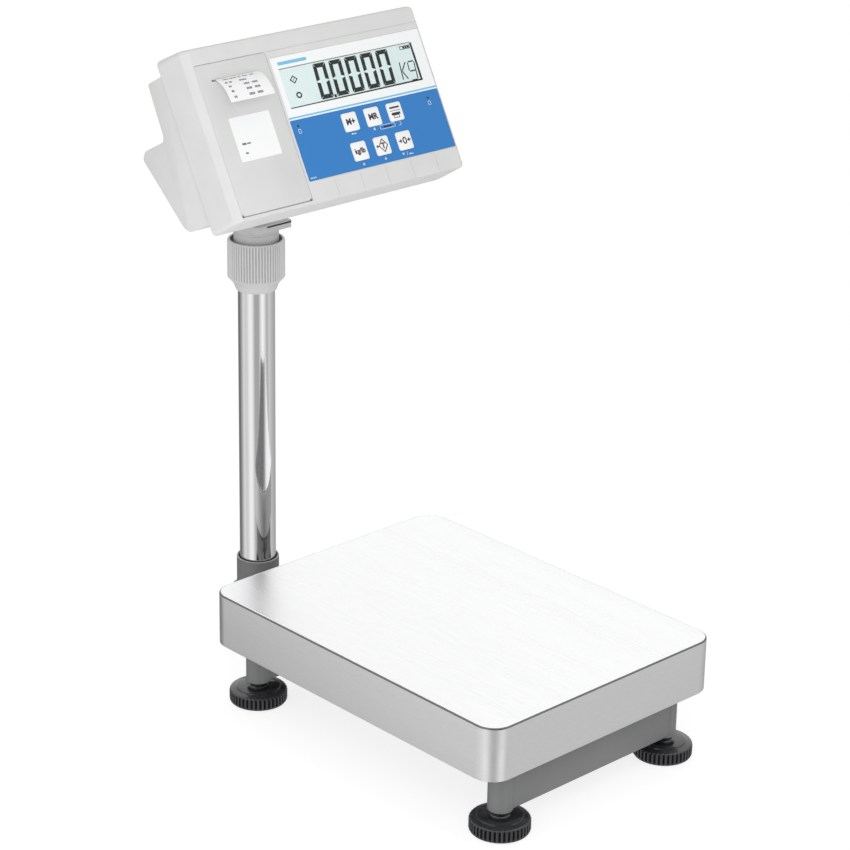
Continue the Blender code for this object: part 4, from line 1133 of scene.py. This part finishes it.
def add_overlay():
    """White film with the blue field, the pale stripe, and small signs that name no maker."""
    left, right, bottom, top = OVERLAY
    holes = [key_outline(x, rise, 0.2 * MM) for _, x, rise in key_centres()]
    window = rounded_rectangle(*DISPLAY, 0.8 * MM, 3)
    outline = rounded_rectangle(left, right, bottom, top, 1 * MM, 3)
    film = holed(outline, (window, *holes), 0.1 * MM, 0.5 * MM)
    on_face("overlay_film", film, film_white, replaces=("membrane_overlay",))
    edge = 0.05 * MM
    outline = rounded_rectangle(left + edge, right - edge, bottom + edge, -85 * MM, 0.9 * MM, 3)
    on_face("overlay_blue_field", holed(outline, holes, 0.03 * MM, 0.1 * MM), film_blue)
    printed = 0.03 * MM
    stripe = rounded_rectangle(left, right, -83.6 * MM, -82 * MM, 0.1 * MM, 1)
    on_face("overlay_stripe", flat(stripe, printed), film_sky)
    on_face("overlay_plain_bar", flat(panel(-44, -8, -30.8, -27.6, 0.8, 3), printed), film_sky)
    printed = -0.04 * MM
    for name, x, rise in (("left", -43.4, -91.2), ("right", 125.2, -92.4)):
        on_face("lamp_" + name, flat(circle(x * MM, rise * MM, 1.2 * MM, 20), printed), print_black)
        tab = panel(x - 1.4, x + 1.6, rise - 7.2, rise - 3.4, 0.6, 2)
        on_face("lamp_sign_" + name, line(tab, 0.5 * MM, printed, closed=True), print_white)
    dashes = (
        (17, 19, -111, -109.6),
        (19.8, 22.6, -111, -109.9),
        (79.4, 82, -142.8, -141.5),
        (82.6, 84.4, -142.8, -141.8),
        (-49, -46, -143.2, -142.3),
        (-45.2, -41.8, -143.2, -142.3),
    )
    arrows = (
        [(44.6, -110.6), (47.4, -109), (47.4, -112.2)],
        [(18.6, -141.4), (20, -140), (21.4, -141.4), (20, -142.8)],
        [(46.8, -142), (50, -142), (48.4, -139.6)],
        [(70.4, -139.9), (73.6, -139.9), (72, -142.3)],
    )
    marks = [box_mark(*dash, printed) for dash in dashes]
    marks += [flat(mm(arrow), printed) for arrow in arrows]
    marks.append(line(panel(54, 73.4, -112.4, -108.6, 0.8, 2), 0.45 * MM, printed, closed=True))
    hook = mm([(78.4, -112.4), (80.6, -112.2), (81.6, -110.4), (80.4, -108.8)])
    marks.append(line(hook, 0.5 * MM, printed))
    marks.append(line(mm([(76.2, -143), (77.6, -139.4)]), 0.4 * MM, printed))
    on_face("overlay_signs", merged(*marks), print_white)
    on_face("overlay_slot_fill", box_mark(58, 69, -111.4, -109.8, printed), print_black)


def add_keys():
    """Six rounded key tops with generic signs, and the domes behind them."""
    front, back = -0.9 * MM, 4.6 * MM
    for name, x, rise in key_centres():
        cap = prism(key_outline(x, rise), front, back, "y", 0.55 * MM)
        on_face(name + "_cap", cap, key_plastic, name, (name,))
        dome = turned(mm([(0, 0), (4, 0), (3.6, 0.25), (2, 0.5), (0, 0.6)]), 28)
        on_face(name + "_dome", moved(dome, at(x, 5.95 * MM, rise) @ TOWARDS_FRONT), zinc)
    printed = front - 0.05 * MM
    (left, middle, right), (first, second) = KEY_COLUMNS, KEY_ROWS
    signs = {
        "key_memory_add": [lettering("M+", 8.4 * MM, left, first, printed)],
        "key_memory_recall": [lettering("MR", 8.4 * MM, middle, first, printed)],
        "key_mode_print": printer_sign(right, first, printed),
        "key_units": [lettering("kg/lb", 7 * MM, left, second, printed)],
        "key_tare": tare_sign(middle, second, printed),
        "key_zero": zero_sign(right, second, printed),
    }
    for name, shapes in signs.items():
        on_face(name + "_sign", merged(*shapes), key_ink, name)


def printer_sign(x, rise, front):
    """A bar over a sheet that leaves a printer."""
    bars = ((-6.2, 6.2, 3.4, 5.2), (-6.6, 6.6, 0.9, 1.4), (-5.6, 5.6, -3.2, -0.8))
    shapes = [flat(mm(corners_of(*bar), x, rise), front) for bar in bars]
    sheet = mm(corners_of(-3.4, 3.4, -6, -3.4), x, rise)
    return shapes + [line(sheet, 0.7 * MM, front, closed=True)]


def tare_sign(x, rise, front):
    """A letter T in a diamond, with an arrow that comes in from the left."""
    diamond = mm([(-4.4, 0), (1, 6.4), (6.4, 0), (1, -6.4)], x, rise)
    shapes = [line(diamond, 1 * MM, front, closed=True)]
    strokes = (([(-1.4, 2.2), (3.4, 2.2)], 1.3), ([(1, 1.6), (1, -3.2)], 1.4), ([(-8.2, 0), (-6.8, 0)], 1.2))
    for points, width in strokes:
        shapes.append(line(mm(points, x, rise), width * MM, front))
    return shapes + [flat(mm([(-7, 2.1), (-4.9, 0), (-7, -2.1)], x, rise), front)]


def zero_sign(x, rise, front):
    """A 0 between two arrows."""
    shapes = [line(circle(x, rise, 2 * MM, 24, 2.9 * MM), 1.4 * MM, front, closed=True)]
    for side in (-1, 1):
        shapes.append(line(mm([(side * 7.6, 0), (side * 5.2, 0)], x, rise), 1.3 * MM, front))
        shapes.append(flat(mm([(side * 5.8, 2.3), (side * 3.3, 0), (side * 5.8, -2.3)], x, rise), front))
    return shapes


# Printer

def add_cover():
    """The hinged door with its slot, tear edge, hinge barrel and platen lugs, and the plain sticker."""
    left, right, hinge_rise, top = COVER
    plate = prism(rounded_rectangle(left, right, hinge_rise, top, 2.5 * MM, 5), 0, 3 * MM, "y", 0.35 * MM)
    barrel = cylinder(HINGE_DEPTH, left + 2.5 * MM, right - 2.5 * MM, 0.3 * MM, 28)
    joins = [moved(barrel, at(0, HINGE_DEPTH, hinge_rise) @ ALONG_X)]
    for lug_left, lug_right in ((-133.2, -130), (-63.6, -60.4)):
        lug = rounded_rectangle(2.4 * MM, 17.5 * MM, PLATEN_RISE - 5 * MM, PLATEN_RISE + 5 * MM, 2.4 * MM, 4)
        joins.append(prism(lug, lug_left * MM, lug_right * MM, "x", 0.3 * MM))
    slot_left, slot_right, slot_top = LABEL_LEFT - 1 * MM, LABEL_RIGHT + 1 * MM, -28.5 * MM
    slot = rounded_rectangle(slot_left, slot_right, -33 * MM, slot_top, 0.8 * MM, 3)
    bearing = cylinder(2.6 * MM, -135 * MM, -58 * MM, steps=28)
    cutters = [through(slot), moved(bearing, at(0, PLATEN_DEPTH, PLATEN_RISE) @ ALONG_X)]
    shape = carve(plate, cutters, joins)
    soften(on_face("cover_door", shape, cover_plastic, "printer_cover", ("printer_cover",)), 0.15 * MM, 40)
    lip, teeth = LABEL_TOP + 0.7 * MM, 32
    step = (slot_right - slot_left) / teeth
    edge = [(slot_right, slot_top), (slot_left, slot_top), (slot_left, lip)]
    for tooth in range(teeth):
        edge.append((slot_left + (tooth + 0.5) * step, lip - 0.35 * MM))
        edge.append((slot_left + (tooth + 1) * step, lip))
    on_face("tear_bar", prism(edge, 0.15 * MM, 1.9 * MM, "y"), cover_plastic, "printer_cover")
    sticker = flat(panel(-121, -72, -113, -70, 1, 3), -0.1 * MM, 0.1 * MM)
    on_face("cover_sticker", sticker, label_paper, "printer_cover")
    dashes = ((-114.4, -109.6, -97.4, -95.4), (-108.8, -104.2, -97.2, -95.8))
    dashes += ((-113.6, -110.4, -106.2, -104.6),)
    marks = [box_mark(*dash, -0.14 * MM) for dash in dashes]
    on_face("sticker_marks", merged(*marks), print_grey, "printer_cover")


def label_path():
    """The label's middle line as (depth, rise) points: up from the roll, over the platen and out."""
    points = mm([(24.2, -80), (19.6, -52)])
    points += arc(PLATEN_DEPTH, PLATEN_RISE, LABEL_WRAP, [7.5 * step for step in range(13)])
    points.append((0, LABEL_TOP))
    return points + [curl_point(math.radians(3 * step), 0) for step in range(1, 27)]


def curl_point(angle, lift):
    """A point of the free curl, at that angle of its quarter oval, lifted off its printed side."""
    reach, drop = 17.5 * MM, 34 * MM
    outward = Vector((-drop * math.sin(angle), reach * math.cos(angle))).normalized()
    middle = Vector((-reach * math.sin(angle), LABEL_TOP - drop * (1 - math.cos(angle))))
    return tuple(middle + outward * lift)


def add_label():
    """The printed strip and its dashes, which stand for the ticket's lines of figures."""
    above, below = stroke(label_path(), 0.22 * MM)
    strip = prism(above + below[::-1], LABEL_LEFT, LABEL_RIGHT, "x")
    on_face("ticket", strip, label_paper, "printer_cover", ("label_strip",), angle=60)
    rows = (
        # angle down the curl, then the dashes as (start, length) from the left edge
        (24, ((6, 7), (14, 9), (24, 4), (29, 8), (38, 6))),
        (37, ((5, 4), (10, 5), (22, 10))),
        (48, ((6, 5), (24, 8), (34, 7))),
        (59, ((6, 5), (24, 8), (34, 7))),
        (70, ((6, 5), (24, 8), (34, 7))),
    )
    pitch = 1.7
    marks = []
    for turn, dashes in rows:
        near, far = math.radians(turn - 2.1), math.radians(turn + 2.1)
        corners = [curl_point(near, 0.13 * MM), curl_point(far, 0.13 * MM)]
        corners += [curl_point(far, 0.18 * MM), curl_point(near, 0.18 * MM)]
        for start, length in dashes:
            for letter in range(int(length / pitch)):
                left = LABEL_LEFT + (start + letter * pitch) * MM
                wide = (1.2 + 0.25 * ((letter + turn) % 2)) * MM
                marks.append(loft([[(x, *corner) for corner in corners] for x in (left, left + wide)]))
    on_face("ticket_print", merged(*marks), print_grey, "printer_cover")


def add_mechanism():
    """Platen, roll of labels, print head and motor."""
    middle = -98 * MM
    sleeve = mm([(2.6, 27.9), (5.7, 27.9), (6, 27.6), (6, -27.6), (5.7, -27.9), (2.6, -27.9)], 0, middle)
    platen_at = FACE @ at(0, PLATEN_DEPTH, PLATEN_RISE) @ ALONG_X
    piece("platen_sleeve", turned(sleeve, 64), sole_rubber, "platen", ("platen_roller",), platen_at)
    shaft = cylinder(2.5 * MM, middle - 34.5 * MM, middle + 34.5 * MM, 0.4 * MM)
    piece("platen_shaft", shaft, zinc, "platen", place=platen_at)
    roll_at = FACE @ at((LABEL_LEFT + LABEL_RIGHT) / 2, ROLL_DEPTH, ROLL_RISE) @ ALONG_X
    half = (LABEL_RIGHT - LABEL_LEFT) / 2
    wound = [(7.6, 0)]
    for turn in range(14):
        radius = 8 + turn * 1.05
        wound += [(radius, -0.12), (radius + 0.5, 0)]
    wound = mm(wound + [(22.7, 0), (23, -0.3)], 0, half) + mm([(23, 0.3), (22.7, 0), (7.6, 0)], 0, -half)
    piece("label_roll", turned(wound, 80), label_paper, "paper_roll", ("paper_roll",), roll_at)
    core = mm([(7.5, 0)], 0, half) + mm([(7.5, 0), (6, 0)], 0, -half) + mm([(6, 0)], 0, half)
    piece("roll_core", turned(core, 48), card, "paper_roll", place=roll_at)
    keep(black, "platen_gear")
    keep(key_plastic, "feed_pinion")
    keep(zinc, "printer_chassis", "feed_motor")
    keep(machined, "print_head")
    on_face("heater_strip", block((-124, 19.55, -39.5), (-72, 19.69, -37)), chip_black)


def add_boards():
    """Boards, chips and battery inside the case."""
    keep(board_green, "main_board", "key_board")
    keep(battery_wrap, "battery_pack")
    board_back = 17.62
    chips = (
        # x, rise, half width, half height, height off the board
        (-25, -50, 6, 6, 1.6),
        (-25, -80, 9, 5, 2.2),
        (-28, -115, 5, 8, 1.8),
        (20, -45, 4, 3, 1.4),
        (60, -120, 7, 7, 1.6),
        (20, -120, 3, 3, 1.2),
        (115, -90, 5, 8, 2.4),
        (60, -45, 8, 3, 1.6),
    )
    for index, (x, rise, wide, tall, height) in enumerate(chips):
        low = (x - wide, board_back, rise - tall)
        chip = block(low, (x + wide, board_back + height, rise + tall), 0.3)
        on_face(f"chip_{index}", chip, chip_black)
        pads = []
        for pad in range(wide):
            centre = x - wide + 1 + pad * 2
            for edge in (rise - tall - 0.5, rise + tall + 0.5):
                low = (centre - 0.3, board_back, edge - 0.5)
                pads.append(block(low, (centre + 0.3, 17.9, edge + 0.5)))
        on_face(f"chip_pins_{index}", merged(*pads), gold)


def add_yoke():
    """The steel plate on the wedge's underside, its two ears and four screws."""
    lean = math.atan2(28.5, 76.5)
    yoke = FACE @ at_mm(0, 145.4, -116.9) @ Matrix.Rotation(-lean, 4, "X")
    back = -39.7 * MM
    plate = prism(panel(-30, 30, -26, 26, 5), back, back + 4 * MM, "y", 0.6 * MM)
    piece("yoke_plate", plate, zinc, "indicator", ("tilt_yoke",), yoke)
    ear = mm([(2, -15)], back) + arc(0, 0, 11 * MM, range(-90, 91, 10)) + mm([(2, 15)], back)
    for name, low, high in (("left", -12, -8), ("right", 8, 12)):
        shape = prism(ear, low * MM, high * MM, "x", 0.5 * MM)
        piece("yoke_ear_" + name, shape, zinc, "indicator", place=yoke)
    for index, (x, rise) in enumerate(((-23, -18), (23, -18), (-23, 18), (23, 18))):
        screw = moved(cross_screw(3.4 * MM), at(x * MM, back + 4 * MM, rise * MM) @ TOWARDS_BACK)
        piece(f"yoke_screw_{index}", screw, zinc, "indicator", place=yoke)


# Stage

def add_stage():
    """A pale floor and two soft lights, none of which show in reflections."""
    shape = bmesh.new()
    bmesh.ops.create_grid(shape, x_segments=1, y_segments=1, size=6)
    floor = add_object("floor", mesh_of("floor", shape))
    pale = look("floor_pale", "", (0.3, 0.3, 0.3), 0.9, Emission_Color=(1, 1, 1, 1), Emission_Strength=0.8)
    floor.data.materials.append(pale)
    floor.visible_glossy = False
    for name, energy, size, spot, aim in (
        ("key_light", 7, 0.9, (-0.85, -0.8, 0.95), (0, 0.15, 0.45)),
        ("top_light", 5, 2.2, (0.5, 0.2, 2.9), (0, 0, 0)),
    ):
        light = bpy.data.lights.new(name, "AREA")
        light.energy = energy
        light.size = size
        lamp = add_object(name, light)
        lamp.visible_glossy = False
        lamp.location = spot
        lamp.rotation_mode = "QUATERNION"
        lamp.rotation_quaternion = (Vector(aim) - Vector(spot)).to_track_quat("-Z", "Y")


# The walls' shade round the room, as (turn from the camera's side in degrees, shade): first what
# lies below eye level, which the upright steel mirrors, then what the tray's top mirrors
CAMERA_SIDE = math.radians(-133)
LOW_WALLS = (
    (-180, 0.35),
    (-127, 0.15),
    (-105, 0.4),
    (-86, 0.75),
    (-70, 0.65),
    (-58, 0.7),
    (-45, 0.9),
    (-33, 0.95),
    (-21, 0.78),
    (-9, 0.42),
    (15, 0.4),
    (27, 0.75),
    (39, 1.0),
    (52, 0.82),
    (65, 0.5),
    (75, 0.48),
    (86, 0.66),
    (100, 0.55),
    (130, 0.42),
    (180, 0.35),
)
HIGH_WALLS = ((-180, 1.0), (-30, 1.0), (-14, 0.12), (46, 0.12), (62, 1.0), (180, 1.0))
ROOM_LIGHT = 0.52  # what falls on matt surfaces from all round


def set_ramp(ramp, stops):
    """Fills a colour ramp with (position, grey) stops."""
    elements = ramp.color_ramp.elements
    while len(elements) > 1:
        elements.remove(elements[-1])
    for index, (position, grey) in enumerate(stops):
        element = elements[0] if index == 0 else elements.new(position)
        element.position = position
        element.color = (grey, grey, grey, 1)


def add_world():
    """White to the camera and an even light for matt surfaces. Reflections see a bright ceiling, a
    dark line at the horizon, and walls that fall dark in upright bands, as flags round a table do."""
    world = bpy.data.worlds.new("studio")
    world.use_nodes = True
    bpy.context.scene.world = world
    world.node_tree.nodes.clear()

    def node(kind, links=None, **values):
        return add_node(world, kind, links, **values)

    direction = node("ShaderNodeTexCoord").outputs["Generated"]
    height = node("ShaderNodeSeparateXYZ", {"Vector": direction}).outputs["Z"]
    turn = node("ShaderNodeMapping", {"Vector": direction})
    turn.inputs["Rotation"].default_value = (0, 0, -CAMERA_SIDE)
    gradient = node("ShaderNodeTexGradient", {"Vector": turn.outputs["Vector"]})
    gradient.gradient_type = "RADIAL"

    def walls(bands):
        ramp = node("ShaderNodeValToRGB", {"Fac": gradient.outputs["Fac"]})
        set_ramp(ramp, [(0.5 + turned_by / 360, shade) for turned_by, shade in bands])
        return ramp.outputs["Color"]

    def grey(shade):
        made = node("ShaderNodeRGB").outputs[0]
        made.default_value = (shade, shade, shade, 1)
        return made

    def by_height(start, end, below, above):
        share = node("ShaderNodeMapRange", {"Value": height}, From_Min=start, From_Max=end).outputs["Result"]
        return node("ShaderNodeMixRGB", {"Fac": share, "Color1": below, "Color2": above}).outputs["Color"]

    upper = by_height(0.55, 0.8, walls(HIGH_WALLS), grey(1.35))
    above_line = by_height(0.03, 0.1, grey(0.4), upper)
    room = by_height(-0.08, -0.03, walls(LOW_WALLS), above_line)
    mirrored = node("ShaderNodeBackground", {"Color": room})
    even = node("ShaderNodeBackground", Color=(1, 1, 1, 1), Strength=ROOM_LIGHT)
    seen = node("ShaderNodeBackground", Color=(1, 1, 1, 1), Strength=1.0)
    path = node("ShaderNodeLightPath").outputs
    lit = node("ShaderNodeMixShader", {0: path["Is Diffuse Ray"], 1: mirrored.outputs[0], 2: even.outputs[0]})
    mixed = node("ShaderNodeMixShader", {0: path["Is Camera Ray"], 1: lit.outputs[0], 2: seen.outputs[0]})
    node("ShaderNodeOutputWorld", {"Surface": mixed.outputs[0]})


def add_camera():
    """A long lens from the front left, a little above the indicator's top."""
    turn, tip, roll = (math.radians(angle) for angle in (-43.05, 21.54, 0.85))
    forward = Vector((-math.sin(turn) * math.cos(tip), math.cos(turn) * math.cos(tip), -math.sin(tip)))
    data = bpy.data.cameras.new("camera")
    data.sensor_width = 36
    data.lens = 117.7
    data.shift_x, data.shift_y = 0.0264, -0.0092
    data.clip_start, data.clip_end = 0.1, 50
    camera = add_object("camera", data)
    camera.location = (-1.7152, -1.8173, 1.2951)
    camera.rotation_mode = "QUATERNION"
    level = forward.to_track_quat("-Z", "Y")
    camera.rotation_quaternion = level @ Matrix.Rotation(roll, 3, "Z").to_quaternion()
    bpy.context.scene.camera = camera


def main():
    add_camera()
    add_stage()
    add_world()
    for end in ("front", "rear"):
        add_crossmember(end)
    add_spine()
    for corner in CORNERS:
        add_foot(corner)
    add_platform()
    add_tray()
    add_arm()
    add_pillar()
    add_clamp()
    add_head()
    add_bezel()
    add_rear_shell()
    add_power_parts()
    add_display()
    add_overlay()
    add_keys()
    add_cover()
    add_label()
    add_mechanism()
    add_boards()
    add_yoke()


main()
bpy.context.scene.view_settings.view_transform = "Standard"
